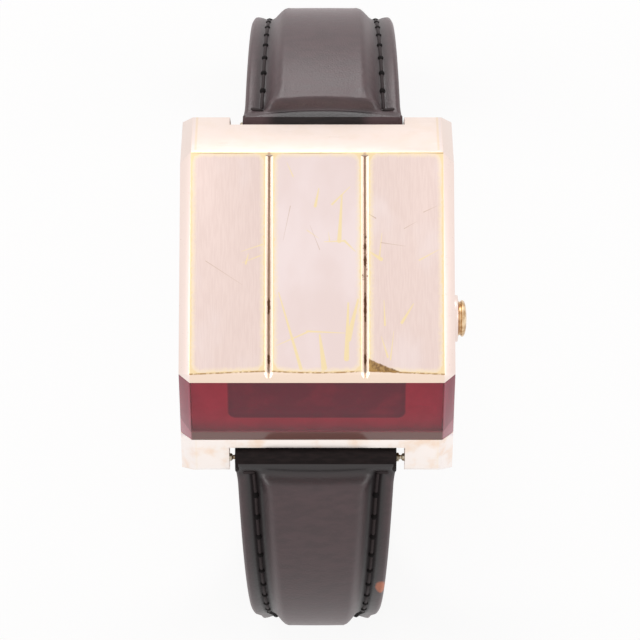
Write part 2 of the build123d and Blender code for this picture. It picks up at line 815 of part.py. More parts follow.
halves = (
    ("upper", 1, high_shift, taper_end, high_length - buckle_wrap_radius / 2, buckle_cut),
    ("lower", -1, low_shift, low_taper_end, low_length, tail_cut),
)
for name, way, shift, taper, leather_end, end_cut in halves:
    padding = strap_sections(
        way, shift, taper, pad_root, pad_end - pad_root, leather_under,
        leather_over - filler_wall, stitch_inset + filler_inset, True,
    )
    with BuildPart() as leather:
        add(strap_sections(way, shift, taper, wrap_radius / 2, leather_end, leather_under,
                           leather_over, 0, True))
        # The end folds round the spring bar
        with BuildSketch(Plane.YZ.offset(shift - strap_width / 2)):
            with Locations((way * bar_place, bar_height)):
                Circle(wrap_radius)
        extrude(amount=strap_width)
        add(padding, mode=Mode.SUBTRACT)
        if way > 0:
            # The other end folds round the buckle's bar
            with BuildSketch(Plane.YZ.offset(shift - tail_half)):
                with Locations((buckle_place, buckle_level)):
                    Circle(buckle_wrap_radius)
            extrude(amount=tail_width)
        add(end_cut.part, mode=Mode.SUBTRACT)
        with BuildSketch(Plane.YZ.offset(shift - strap_width / 2 - overrun)):
            with Locations((way * bar_place, bar_height)):
                Circle(bar_radius + running_gap)
        extrude(amount=strap_width + overrun * 2, mode=Mode.SUBTRACT)
    write(leather, name + "_leather")
    print(name, "leather", round(leather.part.volume, 1), len(leather.part.solids()))

    with BuildPart() as filler:
        add(padding)
    write(filler, name + "_filler")

    lining_end = leather_end - buckle_wrap_radius * 2 if way > 0 else leather_end
    with BuildPart() as lining:
        add(strap_sections(way, shift, taper, lining_start, lining_end,
                           -strap_thick / 2, leather_under, 0, False))
        add(end_cut.part, mode=Mode.SUBTRACT)
    write(lining, name + "_lining")

# Keepers: leather loops round the buckle half, one sewn on and one that slides
for label, place, widest in (
    ("fixed_keeper", fixed_keeper_place, fixed_keeper_place - keeper_length / 2),
    ("free_keeper", free_keeper_place, free_keeper_place - keeper_travel - keeper_length / 2),
):
    room_half = strap_breadth(widest, taper_end) / 2 + keeper_gap
    room_low = -strap_thick / 2 - keeper_gap
    room_high = strap_thick / 2 + keeper_room
    room_mid = (room_low + room_high) / 2
    with BuildPart() as keeper:
        with BuildSketch(strap_plane(1, place, high_shift)):
            with Locations((0, room_mid)):
                RectangleRounded((room_half + keeper_wall) * 2, room_high - room_low + keeper_wall * 2,
                                 keeper_wall)
                Rectangle(room_half * 2, room_high - room_low, mode=Mode.SUBTRACT)
        extrude(amount=keeper_length / 2, both=True)
    write(keeper, label)

# Buckle: a frame open at the strap's end, its bar, and the tang that lies over its front
arm_inner = tail_half + buckle_end_gap
arm_outer = arm_inner + buckle_arm
frame_low = buckle_level - buckle_thick / 2
tang_low = floor_level + tang_lift
tang_high = tang_low + tang_thick
with BuildPart() as buckle_frame:
    with BuildSketch(Plane.XY.offset(frame_low)):
        with BuildLine():
            FilletPolyline(
                (high_shift - arm_outer, buckle_place + buckle_bar_sunk),
                (high_shift - arm_outer, frame_front),
                (high_shift + arm_outer, frame_front),
                (high_shift + arm_outer, buckle_place + buckle_bar_sunk),
                radius=buckle_corner,
            )
            Line((high_shift - arm_outer, buckle_place + buckle_bar_sunk),
                 (high_shift + arm_outer, buckle_place + buckle_bar_sunk))
        make_face()
        with BuildLine():
            inner_back = buckle_place + buckle_bar_sunk + overrun
            inner_front = frame_front + buckle_cross
            Polyline((high_shift - arm_inner, inner_back), (high_shift - arm_inner, inner_front),
                     (high_shift + arm_inner, inner_front), (high_shift + arm_inner, inner_back), close=True)
        make_face(mode=Mode.SUBTRACT)
    extrude(amount=buckle_thick)
    notch_low = (frame_front - overrun, frame_low - overrun)
    notch_high = (frame_front + buckle_cross + overrun, tang_high + tang_slot_gap / 2)
    add(side_box(notch_low, notch_high, high_shift - slot_half, high_shift + slot_half), mode=Mode.SUBTRACT)
    with BuildSketch(Plane.YZ.offset(high_shift - arm_outer + buckle_skin)):
        with Locations((buckle_place, buckle_level)):
            Circle(buckle_bar_radius)
    extrude(amount=(arm_outer - buckle_skin) * 2, mode=Mode.SUBTRACT)
write(buckle_frame, "buckle_frame")

with BuildPart() as buckle_bar:
    with BuildSketch(Plane.YZ.offset(high_shift - arm_outer + buckle_skin)):
        with Locations((buckle_place, buckle_level)):
            Circle(buckle_bar_radius)
    extrude(amount=(arm_outer - buckle_skin) * 2)
write(buckle_bar, "buckle_bar")

with BuildPart() as buckle_tang:
    with BuildSketch(Plane.YZ.offset(high_shift - tang_width / 2)):
        with Locations((buckle_place, buckle_level)):
            Circle(tang_eye)
        with BuildLine():
            Polyline((buckle_place, tang_low), (buckle_place, tang_high),
                     (frame_front - tang_over + tang_thick / 2, tang_high),
                     (frame_front - tang_over, tang_low + tang_thick / 3),
                     (frame_front - tang_over, tang_low), close=True)
        make_face()
        with Locations((buckle_place, buckle_level)):
            Circle(buckle_bar_radius + running_gap, mode=Mode.SUBTRACT)
    extrude(amount=tang_width)
write(buckle_tang, "buckle_tang")

# Places that a user of the part needs, from the point midway between the strap's feet
for label, place in (
    ("upper bar", (0, bar_place, bar_height)),
    ("lower bar", (0, -bar_place, bar_height)),
    ("button", (side, button_place, button_height)),
    ("buckle bar", (high_shift, buckle_place, buckle_level)),
    ("buckle window", (high_shift, (inner_front + buckle_place) / 2, buckle_level)),
    ("free keeper", (high_shift, column_place, strap_line(free_keeper_place)[1])),
    ("spring seat", (button_floor, button_place, button_height)),
):
    moved = (place[0] - centre_x, place[1] - centre_y, place[2] + case_lift)
    print(label, [round(value, 3) for value in moved])
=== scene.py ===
# %% [markdown]
# # A driver's LED watch on its open strap
# The watch comes in as a fixed frame of exact parts. This lesson dresses that frame: worn gold
# plate, a red display window, and a padded, stitched leather strap. Lengths are in metres, as
# Blender has them, and the value mm turns a size in millimetres into one.

import math

import bpy
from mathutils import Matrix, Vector


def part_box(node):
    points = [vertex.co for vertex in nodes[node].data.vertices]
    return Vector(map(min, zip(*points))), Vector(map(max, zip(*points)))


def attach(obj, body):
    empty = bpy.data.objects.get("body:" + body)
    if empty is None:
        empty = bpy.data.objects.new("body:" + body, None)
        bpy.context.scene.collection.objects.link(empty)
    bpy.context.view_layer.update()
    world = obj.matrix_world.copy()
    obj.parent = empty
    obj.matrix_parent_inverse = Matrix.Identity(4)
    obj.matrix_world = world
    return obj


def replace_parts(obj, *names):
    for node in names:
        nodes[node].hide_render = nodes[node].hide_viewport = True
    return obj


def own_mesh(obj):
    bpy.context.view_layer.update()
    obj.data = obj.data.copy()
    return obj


mm = 0.001
per_mm = 1 / mm
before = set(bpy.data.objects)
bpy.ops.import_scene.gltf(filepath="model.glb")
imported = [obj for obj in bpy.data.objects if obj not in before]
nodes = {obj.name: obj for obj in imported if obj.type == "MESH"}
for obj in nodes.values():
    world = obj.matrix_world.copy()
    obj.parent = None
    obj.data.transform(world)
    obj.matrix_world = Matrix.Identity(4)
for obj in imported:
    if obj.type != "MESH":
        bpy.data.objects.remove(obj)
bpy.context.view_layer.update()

# %% [markdown]
# ## Camera
# The photograph looks down on the case from 390 mm, tipped 6 degrees towards the six o'clock
# side. A long lens keeps the sides nearly parallel, so the strap shrinks only a little as it
# drops away. The camera is placed from the case's crest, the line where panels and window meet.

# %% Camera
case_low, case_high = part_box("case_shell")
case_middle_x = (case_low.x + case_high.x) / 2
crest_height = case_high.z
camera_tilt = math.radians(6)
crest_distance = 390 * mm
crest_to_axis = 6.69 * mm
crest_aside = 0.335 * mm
bar_to_crest = 29.9 * mm
crest_y = (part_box("upper_bar")[0].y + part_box("upper_bar")[1].y) / 2 - bar_to_crest
up_in_view = Vector((0, math.cos(camera_tilt), math.sin(camera_tilt)))
into_view = Vector((0, math.sin(camera_tilt), -math.cos(camera_tilt)))
crest_place = Vector((case_middle_x + crest_aside, crest_y, crest_height))
camera_data = bpy.data.cameras.new("photo_camera")
camera_data.lens = 196.7
camera_data.sensor_width = 36
camera_data.clip_start = 0.05
camera = bpy.data.objects.new("photo_camera", camera_data)
camera.location = crest_place + up_in_view * crest_to_axis - into_view * crest_distance
camera.rotation_euler = (camera_tilt, 0, 0)
bpy.context.scene.collection.objects.link(camera)
bpy.context.scene.camera = camera
bpy.context.scene.view_settings.view_transform = "Standard"
print("camera at", [round(v / mm, 1) for v in camera.location])

# %% [markdown]
# ## Helpers for finishes
# Every finish is a Principled shader with patterns worked out from Object coordinates, which are
# the same as places in the frame because each piece sits at the origin. Small helpers keep the
# node code short: one adds a sum, one a noise pattern, one blends two colours.


# %% Helpers for finishes
def shade(red, green, blue):
    """A colour given from 0 to 255, as the linear colour that Blender wants."""
    channels = []
    for value in (red, green, blue):
        part = value / 255
        channels.append(part / 12.92 if part <= 0.04045 else ((part + 0.055) / 1.055) ** 2.4)
    return (*channels, 1)


class Finish:
    """A material with one Principled shader and short ways to add patterns to it."""

    def __init__(self, name, color, roughness, metallic=0, **settings):
        self.material = bpy.data.materials.new(name)
        self.material.use_nodes = True
        self.nodes = self.material.node_tree.nodes
        self.links = self.material.node_tree.links
        self.shader = self.nodes["Principled BSDF"]
        self.shader.inputs["Base Color"].default_value = color
        self.shader.inputs["Roughness"].default_value = roughness
        self.shader.inputs["Metallic"].default_value = metallic
        for socket, value in settings.items():
            self.shader.inputs[socket.replace("_", " ")].default_value = value
        self.material.diffuse_color = color

    def add(self, kind, **settings):
        node = self.nodes.new("ShaderNode" + kind)
        for name, value in settings.items():
            setattr(node, name, value)
        return node

    def feed(self, value, socket):
        """Give a socket a link or a plain value."""
        if isinstance(value, bpy.types.NodeSocket):
            self.links.new(value, socket)
        else:
            socket.default_value = value

    def sum(self, operation, first, second=0.0, third=0.0, clamp=False):
        node = self.add("Math", operation=operation, use_clamp=clamp)
        for value, socket in zip((first, second, third), node.inputs):
            self.feed(value, socket)
        return node.outputs[0]

    def times(self, first, second):
        return self.sum("MULTIPLY", first, second)

    def times_plus(self, first, second, third, clamp=False):
        """The first two multiplied, and the third added."""
        return self.sum("MULTIPLY_ADD", first, second, third, clamp)

    def off(self, value, middle):
        """How far a value is from a middle one, to either side."""
        return self.sum("ABSOLUTE", self.sum("SUBTRACT", value, middle))

    def length(self, x, y):
        """How long the way is that goes x across and y along."""
        return self.sum("SQRT", self.times_plus(x, x, self.times(y, y)))

    def place(self):
        """Object coordinates, split into X, Y and Z in metres."""
        split = self.add("SeparateXYZ")
        self.links.new(self.add("TexCoord").outputs["Object"], split.inputs[0])
        return tuple(split.outputs)

    def noise(self, cells, detail=3.0):
        """A noise pattern with so many cells in a millimetre, alike or for X, Y and Z each."""
        cells = cells if isinstance(cells, tuple) else (cells, cells, cells)
        mapping = self.add("Mapping")
        mapping.inputs["Scale"].default_value = [per_mm * count for count in cells]
        self.links.new(self.add("TexCoord").outputs["Object"], mapping.inputs["Vector"])
        texture = self.add("TexNoise")
        texture.inputs["Scale"].default_value = 1
        texture.inputs["Detail"].default_value = detail
        self.links.new(mapping.outputs[0], texture.inputs["Vector"])
        return texture.outputs["Fac"]

    def ramp(self, value, low, high):
        """0 below low, 1 above high, and a smooth change between them."""
        node = self.add("MapRange", interpolation_type="SMOOTHSTEP")
        self.feed(value, node.inputs["Value"])
        self.feed(low, node.inputs["From Min"])
        self.feed(high, node.inputs["From Max"])
        return node.outputs[0]

    def fall(self, value, low, high):
        """1 below low, 0 above high, and a smooth change between them."""
        return self.sum("SUBTRACT", 1.0, self.ramp(value, low, high))

    def blend(self, share, first, second):
        """The first colour where the share is 0, the second where it is 1."""
        node = self.add("Mix", data_type="RGBA")
        self.feed(share, node.inputs[0])
        self.feed(first, node.inputs[6])
        self.feed(second, node.inputs[7])
        return node.outputs[2]

    def paint(self, tone, share, strength, color):
        """Lay a colour over a tone, by a pattern and how strongly the pattern counts."""
        return self.blend(self.times(share, strength), tone, color)

    def mottle(self, pattern, low, high, first, second):
        """Two colours parted by a pattern."""
        return self.blend(self.ramp(pattern, low, high), first, second)

    def color(self, value):
        self.feed(value, self.shader.inputs["Base Color"])

    def roughen(self, value, low, high):
        """Roughness from low to high as a pattern goes from 0 to 1."""
        node = self.add("MapRange")
        self.feed(value, node.inputs["Value"])
        node.inputs["To Min"].default_value = low
        node.inputs["To Max"].default_value = high
        self.links.new(node.outputs[0], self.shader.inputs["Roughness"])

    def bump(self, height, distance, strength=1.0):
        """Raise the surface by a pattern, on top of any bump that is there already."""
        node = self.add("Bump")
        node.inputs["Strength"].default_value = strength
        node.inputs["Distance"].default_value = distance
        self.links.new(height, node.inputs["Height"])
        normal = self.shader.inputs["Normal"]
        if normal.is_linked:
            self.links.new(normal.links[0].from_socket, node.inputs["Normal"])
        self.links.new(node.outputs[0], normal)


def dress(piece, *finishes):
    """Give a piece its materials, in the order of its material slots."""
    piece.data.materials.clear()
    for finish in finishes:
        piece.data.materials.append(finish.material)


# %% [markdown]
# ## Light, floor and background
# The photograph was taken in a white tent, so metal mirrors white all round and shadows are very
# soft. The world is white to the eye and in reflections, and dimmer as a light. The floor shows
# white too but keeps a part of the shadow under the watch.


# %% World and lamps
def seen_share(tree):
    """1 for rays from the camera, from a mirror or through glass, and 0 for those that light."""
    path = tree.nodes.new("ShaderNodeLightPath")
    share = path.outputs["Is Camera Ray"]
    for kind in ("Is Glossy Ray", "Is Transmission Ray"):
        either = tree.nodes.new("ShaderNodeMath")
        either.operation = "MAXIMUM"
        tree.links.new(share, either.inputs[0])
        tree.links.new(path.outputs[kind], either.inputs[1])
        share = either.outputs[0]
    return share


tent_light = 0.56
world = bpy.data.worlds.new("white_tent")
bpy.context.scene.world = world
world.use_nodes = True
sky = world.node_tree
sky_shader = sky.nodes["Background"]
tent_level = sky.nodes.new("ShaderNodeMapRange")
tent_level.inputs["To Min"].default_value = tent_light
tent_level.inputs["To Max"].default_value = 1.0
sky.links.new(seen_share(sky), tent_level.inputs["Value"])
sky.links.new(tent_level.outputs[0], sky_shader.inputs["Strength"])
sky_shader.inputs["Color"].default_value = (1.0, 0.985, 0.98, 1)

# Places and widths in metres, and powers in watts
watch_middle = Vector((0, 0, crest_height * 0.7))
softboxes = {
    "top_softbox": ((-0.08, 0.74, 0.36), 0.40, 3.0),
    "left_softbox": ((-0.56, 0.06, 0.40), 0.26, 1.3),
    "right_softbox": ((0.56, 0.04, 0.40), 0.26, 1.1),
}
for name, (place, width, power) in softboxes.items():
    lamp_data = bpy.data.lights.new(name, "AREA")
    lamp_data.shape = "SQUARE"
    lamp_data.size = width
    lamp_data.energy = power
    lamp = bpy.data.objects.new(name, lamp_data)
    lamp.location = place
    lamp.rotation_euler = (watch_middle - Vector(place)).to_track_quat("-Z", "Y").to_euler()
    bpy.context.scene.collection.objects.link(lamp)
print(len(softboxes), "softboxes")

# %% Floor
floor_paper = Finish("floor_paper", shade(246, 244, 243), 0.8)
floor_white = 0.86
floor_width = 3
white_share = floor_paper.times(seen_share(floor_paper.material.node_tree), floor_white)
paper_glow = floor_paper.add("Emission")
paper_glow.inputs["Color"].default_value = (1, 1, 1, 1)
paper_mix = floor_paper.add("MixShader")
shaders = (white_share, floor_paper.shader.outputs[0], paper_glow.outputs[0])
for value, socket in zip(shaders, paper_mix.inputs):
    floor_paper.feed(value, socket)
floor_paper.feed(paper_mix.outputs[0], floor_paper.nodes["Material Output"].inputs["Surface"])
bpy.ops.object.select_all(action="DESELECT")
bpy.ops.mesh.primitive_plane_add(size=floor_width)
floor = bpy.context.object
floor.name = "floor"
dress(floor, floor_paper)
print("floor laid")

# %% [markdown]
# ## Gold plate
# The case is brushed pale gold over brass. Everything on it is worked out from places in
# millimetres: how far a point is from the case's middle line and how far behind the crest. The
# plate has worn through to yellow in a line round each of the three panels, which is the edge
# of a rounded rectangle. Scratches are thin tapering strokes, and the two grooves are painted
# darker as shade and hold brown dirt.

# %% Places on the case
upper_bar_low, upper_bar_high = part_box("upper_bar")
lower_bar_low, lower_bar_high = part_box("lower_bar")
bar_height = (upper_bar_low.z + upper_bar_high.z) / 2
upper_bar_y = (upper_bar_low.y + upper_bar_high.y) / 2
lower_bar_y = (lower_bar_low.y + lower_bar_high.y) / 2
case_middle_y = (upper_bar_y + lower_bar_y) / 2
crest_behind_bar = 29.3 * mm
panel_crest_y = upper_bar_y - crest_behind_bar
# The patterns count in millimetres, and so do these
panel_length = 25.4
panel_side = 14.2
panel_corner = 1.2
groove_place = 5.4
groove_half = 0.42
brush_depth = 0.003 * mm


def case_places(finish):
    """X from the case's middle and Y behind the crest, both in millimetres."""
    x, y = finish.place()[:2]
    across = finish.times_plus(x, per_mm, -case_middle_x / mm)
    return across, finish.times_plus(y, per_mm, -panel_crest_y / mm)


def stroke(finish, across, behind, start, end, width):
    """1 on a thin line from start to end, tapering to nothing at its end, and 0 elsewhere."""
    run = Vector(end) - Vector(start)
    over_x = finish.sum("SUBTRACT", across, start[0])
    over_y = finish.sum("SUBTRACT", behind, start[1])
    along = finish.times(over_x, run.x / run.length_squared)
    along = finish.times_plus(over_y, run.y / run.length_squared, along, clamp=True)
    off_x = finish.times_plus(along, -run.x, over_x)
    off_y = finish.times_plus(along, -run.y, over_y)
    reach = finish.times_plus(along, -width, width * 1.5)
    return finish.ramp(finish.sum("SUBTRACT", reach, finish.length(off_x, off_y)), -0.03, 0.05)


def blot(finish, across, behind, middle, radii, ragged):
    """1 in an oval with a ragged edge, and 0 outside."""
    over_x = finish.times_plus(across, 1 / radii[0], -middle[0] / radii[0])
    over_y = finish.times_plus(behind, 1 / radii[1], -middle[1] / radii[1])
    return finish.fall(finish.times_plus(ragged, 1.6, finish.length(over_x, over_y)), 1.35, 1.75)


def any_of(finish, patterns):
    """1 where any of the patterns is 1."""
    together = patterns[0]
    for pattern in patterns[1:]:
        together = finish.sum("MAXIMUM", together, pattern)
    return together


# %% Brushed gold of the three panels
panel_gold = Finish("panel_gold", shade(242, 223, 215), 0.36, metallic=1)
across, behind = case_places(panel_gold)
aside = panel_gold.sum("ABSOLUTE", across)
brushing = panel_gold.noise((6.5, 0.05, 6.5), detail=2)
clouds = panel_gold.noise((0.16, 0.09, 0.16), detail=3)
crumbs = panel_gold.noise(2.6, detail=5)
# The side panels are brushed and the middle one clouded; the side panels are also painted a little darker,
# as painted shade for their outward tilt
shaded_side_tone = panel_gold.mottle(brushing, 0.34, 0.66, shade(229, 208, 201), shade(233, 213, 206))
middle_tone = panel_gold.mottle(clouds, 0.35, 0.65, shade(232, 214, 210), shade(237, 221, 219))
in_middle = panel_gold.sum("LESS_THAN", aside, groove_place)
tone = panel_gold.blend(in_middle, shaded_side_tone, middle_tone)
tone = panel_gold.paint(tone, panel_gold.ramp(clouds, 0.5, 0.72), 0.5, shade(239, 225, 223))
print("brushed gold with", len(panel_gold.nodes), "nodes")

# %% Worn line round each panel
# Distance in from the edge of the nearest panel, whose corners are rounded
side_half = (panel_side - groove_place - groove_half) / 2
side_middle = panel_side - side_half
middle_half = groove_place - groove_half
panel_middle = panel_gold.times_plus(in_middle, -side_middle, side_middle)
panel_half = panel_gold.times_plus(in_middle, middle_half - side_half, side_half)
from_middle = panel_gold.off(aside, panel_middle)
over_x = panel_gold.sum("SUBTRACT", from_middle, panel_gold.sum("SUBTRACT", panel_half, panel_corner))
# The front edge of each panel is gently scalloped, so the front line moves with X
bow_side = panel_gold.times_plus(aside, -0.042, 0.627)
bow_middle = panel_gold.times_plus(panel_gold.times(aside, aside), 0.0069, 0.2)
on_side = panel_gold.sum("SUBTRACT", 1.0, in_middle)
bow = panel_gold.times_plus(in_middle, bow_middle, panel_gold.times(on_side, bow_side))
from_front = panel_gold.sum("SUBTRACT", behind, bow)
from_back = panel_gold.sum("SUBTRACT", panel_length, behind)
over_y = panel_gold.sum("SUBTRACT", panel_corner, panel_gold.sum("MINIMUM", from_front, from_back))
out_x = panel_gold.sum("MAXIMUM", over_x, 0.0)
out_y = panel_gold.sum("MAXIMUM", over_y, 0.0)
inner = panel_gold.sum("MINIMUM", panel_gold.sum("MAXIMUM", over_x, over_y), 0.0)
inside = panel_gold.sum("ADD", panel_gold.length(out_x, out_y), inner)
inside = panel_gold.sum("SUBTRACT", panel_corner, inside)
ragged_inside = panel_gold.times_plus(crumbs, 0.5, inside)
halo = panel_gold.fall(ragged_inside, 0.35, 1.0)
line = panel_gold.fall(ragged_inside, 0.32, 0.5)
tone = panel_gold.paint(tone, halo, 0.75, shade(247, 229, 196))
tone = panel_gold.paint(tone, line, 0.6, shade(240, 214, 158))
print("worn line added,", len(panel_gold.nodes), "nodes")

# %% Scratches and a worn wedge
# Scratches, as start, end and width in millimetres from the middle of the crest
scratches = [
    ((2.5, 15.2), (2.8, 20.5), 0.17), ((3.1, 15.2), (0.8, 15.1), 0.07), ((3.1, 15.2), (4.3, 14.0), 0.09),
    ((-0.2, 19.2), (0.2, 21.2), 0.12), ((1.7, 19.4), (3.7, 21.4), 0.08), ((-1.1, 16.4), (0.2, 15.5), 0.04),
    ((1.4, 15.2), (1.3, 16.2), 0.04), ((-1.8, 0.7), (-4.3, 9.3), 0.13), ((-1.1, 4.8), (-4.5, 3.3), 0.07),
    ((-1.1, 4.9), (3.1, 4.7), 0.08), ((0.8, 0.8), (0.3, 4.5), 0.22), ((3.3, 1.8), (3.5, 8.1), 0.2),
    ((3.5, 4.0), (4.6, 8.5), 0.22), ((7.6, 5.6), (7.5, 8.4), 0.08), ((9.5, 5.9), (10.8, 8.0), 0.12),
    ((7.9, 2.0), (7.2, 4.3), 0.08), ((8.2, 1.7), (8.6, 4.9), 0.06), ((7.2, 13.1), (6.0, 13.9), 0.15),
    ((7.0, 13.3), (7.3, 16.1), 0.06), ((-6.1, 14.8), (-8.5, 14.0), 0.05), ((-8.0, 12.6), (-7.7, 13.7), 0.08),
    ((-6.4, 13.5), (-8.4, 12.7), 0.05), ((11.5, 13.0), (13.7, 14.2), 0.06),
    ((-2.7, 22.6), (-3.4, 24.2), 0.05),
]
fine_scratches = [
    ((7.2, 15.0), (9.9, 14.6), 0.035), ((12.0, 18.5), (13.5, 19.2), 0.035), ((6.6, 17.8), (5.8, 18.3), 0.05),
    ((-12.5, 12.9), (-8.4, 10.2), 0.03), ((9.8, 16.6), (11.2, 17.4), 0.03),
    ((-3.0, 19.2), (-3.8, 15.3), 0.03), ((0.3, 14.2), (-0.8, 17.0), 0.03),
]
for marks, strength, color in (
    (scratches, 0.8, shade(242, 222, 168)), (fine_scratches, 0.6, shade(190, 160, 132)),
):
    scratched = any_of(panel_gold, [stroke(panel_gold, across, behind, *mark) for mark in marks])
    tone = panel_gold.paint(tone, scratched, strength, color)

# Beside the right groove the plate has gone in a brown wedge along the front edge
wedge_left, wedge_right, wedge_height = 5.75, 9.9, 1.55
wedge_length = 4.3
from_tip = panel_gold.times_plus(across, -1 / wedge_length, wedge_right / wedge_length, clamp=True)
wedge = panel_gold.times(panel_gold.sum("POWER", from_tip, 1.15), wedge_height)
wedge = panel_gold.sum("SUBTRACT", wedge, panel_gold.times_plus(crumbs, 0.35, from_front))
wedge = panel_gold.ramp(wedge, -0.2, 0.0)
wedge = panel_gold.times(wedge, panel_gold.sum("GREATER_THAN", across, wedge_left))
wedge_tone = panel_gold.mottle(crumbs, 0.4, 0.6, shade(122, 88, 46), shade(172, 134, 78))
tone = panel_gold.paint(tone, wedge, 0.92, wedge_tone)
print(len(scratches) + len(fine_scratches), "scratches and a wedge")

# %% Strip and lines at the panels' ends
# In front of the scalloped line the plate turns down in a bare cream strip
tone = panel_gold.blend(panel_gold.fall(from_front, -0.06, 0.02), tone, shade(244, 223, 205))
crease_behind = panel_length - 0.12
crease_line = panel_gold.fall(panel_gold.off(behind, crease_behind), 0.02, 0.1)
crease_line = panel_gold.times(crease_line, panel_gold.ramp(clouds, 0.3, 0.6))
tone = panel_gold.paint(tone, crease_line, 0.7, shade(186, 150, 108))
front_line = panel_gold.fall(panel_gold.sum("ABSOLUTE", from_front), 0.03, 0.13)
front_line = panel_gold.times(front_line, panel_gold.ramp(crumbs, 0.3, 0.62))
tone = panel_gold.paint(tone, front_line, 0.9, shade(170, 128, 74))
print("front strip, its line and the crease at the back")

# %% Grooves and their dirt
# Bright walls over a groove painted darker as shade, a thin brown line of painted shade at the bottom,
# patchy by a noise, and dirt that has set in places
groove_end = panel_length - 0.3
off_groove = panel_gold.off(aside, groove_place)
on_top = panel_gold.ramp(behind, 0.1, 0.4)
on_top = panel_gold.times(on_top, panel_gold.sum("LESS_THAN", behind, groove_end))
in_groove = panel_gold.times(panel_gold.fall(off_groove, 0.36, groove_half), on_top)
tone = panel_gold.blend(in_groove, tone, shade(184, 168, 156))
bottom_line = panel_gold.times(panel_gold.fall(off_groove, 0.08, 0.24), panel_gold.ramp(behind, 0.35, 0.9))
patchy_bottom = panel_gold.times_plus(panel_gold.ramp(crumbs, 0.32, 0.7), 0.4, 0.5)
tone = panel_gold.paint(tone, bottom_line, patchy_bottom, shade(186, 156, 134))
dirt_half_width = 0.2
# Each spot of dirt by its groove's side, its place behind the crest and half its length
dirt_spots = [(-1, 7.8, 1.2), (-1, 1.7, 0.9), (1, 7.6, 2.0), (1, 1.7, 0.9), (1, 12.9, 0.8), (1, 14.6, 0.5)]
dirt = any_of(panel_gold, [
    blot(panel_gold, across, behind, (side * groove_place, place), (dirt_half_width, half_length), crumbs)
    for side, place, half_length in dirt_spots
])
tone = panel_gold.paint(tone, dirt, 0.92, shade(112, 78, 56))
specks_start, specks_full, specks_end = 9.6, 11.0, 16.0
specks = panel_gold.times(panel_gold.ramp(crumbs, 0.56, 0.64), in_groove)
specks = panel_gold.times(specks, panel_gold.sum("GREATER_THAN", across, 0.0))
specks = panel_gold.times(specks, panel_gold.ramp(behind, specks_start, specks_full))
specks = panel_gold.times(specks, panel_gold.sum("LESS_THAN", behind, specks_end))
tone = panel_gold.paint(tone, specks, 0.75, shade(90, 66, 52))
panel_gold.color(tone)
panel_gold.roughen(brushing, 0.33, 0.4)
panel_gold.bump(brushing, brush_depth, 0.15)
print("panel gold has", len(panel_gold.nodes), "nodes")

# %% Gold of the other faces
# Again in millimetres, as the patterns count
slope_edge = 13.75
rear_edge = panel_length + 0.3
rim_ahead = -6.0
case_gold = Finish("case_gold", shade(248, 232, 224), 0.3, metallic=1)
across, behind = case_places(case_gold)
aside = case_gold.sum("ABSOLUTE", across)
grain = case_gold.noise((0.25, 5.0, 5.0), detail=2)
tarnish = case_gold.noise(0.5, detail=4)
tone = case_gold.mottle(tarnish, 0.36, 0.7, shade(249, 234, 227), shade(245, 227, 214))
past_panels = any_of(case_gold, [
    case_gold.sum("GREATER_THAN", behind, rear_edge), case_gold.sum("LESS_THAN", behind, rim_ahead),
])
yellow_line = case_gold.times(case_gold.fall(case_gold.off(aside, slope_edge), 0.05, 0.2), past_panels)
tone = case_gold.paint(tone, yellow_line, 0.7, shade(236, 206, 148))
far_side = case_gold.times(past_panels, case_gold.ramp(aside, 13.8, 14.0))
tone = case_gold.paint(tone, far_side, 0.8, shade(232, 220, 224))
side_band = case_gold.times(case_gold.sum("GREATER_THAN", aside, 14.15), case_gold.ramp(behind, -0.5, 0.5))
tone = case_gold.paint(tone, side_band, 0.9, shade(240, 221, 213))
# The low front strip under the window is painted brighter, as painted reflection of the white tent, mottled
# by the tarnish pattern
low_reflection_strip = case_gold.fall(behind, rim_ahead - 0.4, rim_ahead)
low_reflection_tone = case_gold.mottle(tarnish, 0.44, 0.76, shade(255, 247, 242), shade(250, 226, 206))
tone = case_gold.paint(tone, low_reflection_strip, 0.85, low_reflection_tone)
rear_strip = case_gold.ramp(behind, rear_edge - 0.2, rear_edge)
tone = case_gold.paint(tone, rear_strip, 0.6, shade(240, 222, 212))
case_gold.color(tone)
case_gold.roughen(grain, 0.24, 0.36)
case_gold.bump(grain, brush_depth, 0.2)

worn_gold = Finish("worn_gold_edge", shade(246, 224, 170), 0.26, metallic=1)
wear = worn_gold.noise(0.8, detail=4)
worn_gold.color(worn_gold.mottle(wear, 0.35, 0.65, shade(218, 192, 138), shade(236, 218, 182)))
worn_gold.roughen(wear, 0.2, 0.36)

polished_gold = Finish("polished_gold", shade(226, 180, 118), 0.2, metallic=1)
rubbed = polished_gold.noise(1.4, detail=4)
polished_gold.color(polished_gold.mottle(rubbed, 0.35, 0.75, shade(232, 192, 134), shade(212, 166, 108)))
polished_gold.roughen(rubbed, 0.14, 0.34)
print("four golds mixed")

# %% [markdown]
# ## Case
# The exact case has sharp corners. Real pressed and polished metal has none, so a copy of it is
# merged into clean flat faces and its edges are bevelled. The bevel's own faces take the worn
# gold, which draws yellow lines along the edges. Faces on the panels' slope take the panel gold.


# %% Helpers for pieces
def only_selected(piece):
    """Make one object the selected and active one."""
    bpy.ops.object.select_all(action="DESELECT")
    bpy.context.view_layer.objects.active = piece
    piece.select_set(True)


def new_piece(name, mesh):
    """An object for a mesh, linked, selected and active."""
    piece = bpy.data.objects.new(name, mesh)
    bpy.context.scene.collection.objects.link(piece)
    only_selected(piece)
    return piece


def skin(name, vertices, faces):
    """A piece from places and faces, with its normals outwards."""
    mesh = bpy.data.meshes.new(name)
    mesh.from_pydata(vertices, [], faces)
    piece = new_piece(name, mesh)
    bpy.ops.object.mode_set(mode="EDIT")
    bpy.ops.mesh.select_all(action="SELECT")
    bpy.ops.mesh.normals_make_consistent(inside=False)
    bpy.ops.object.mode_set(mode="OBJECT")
    return piece


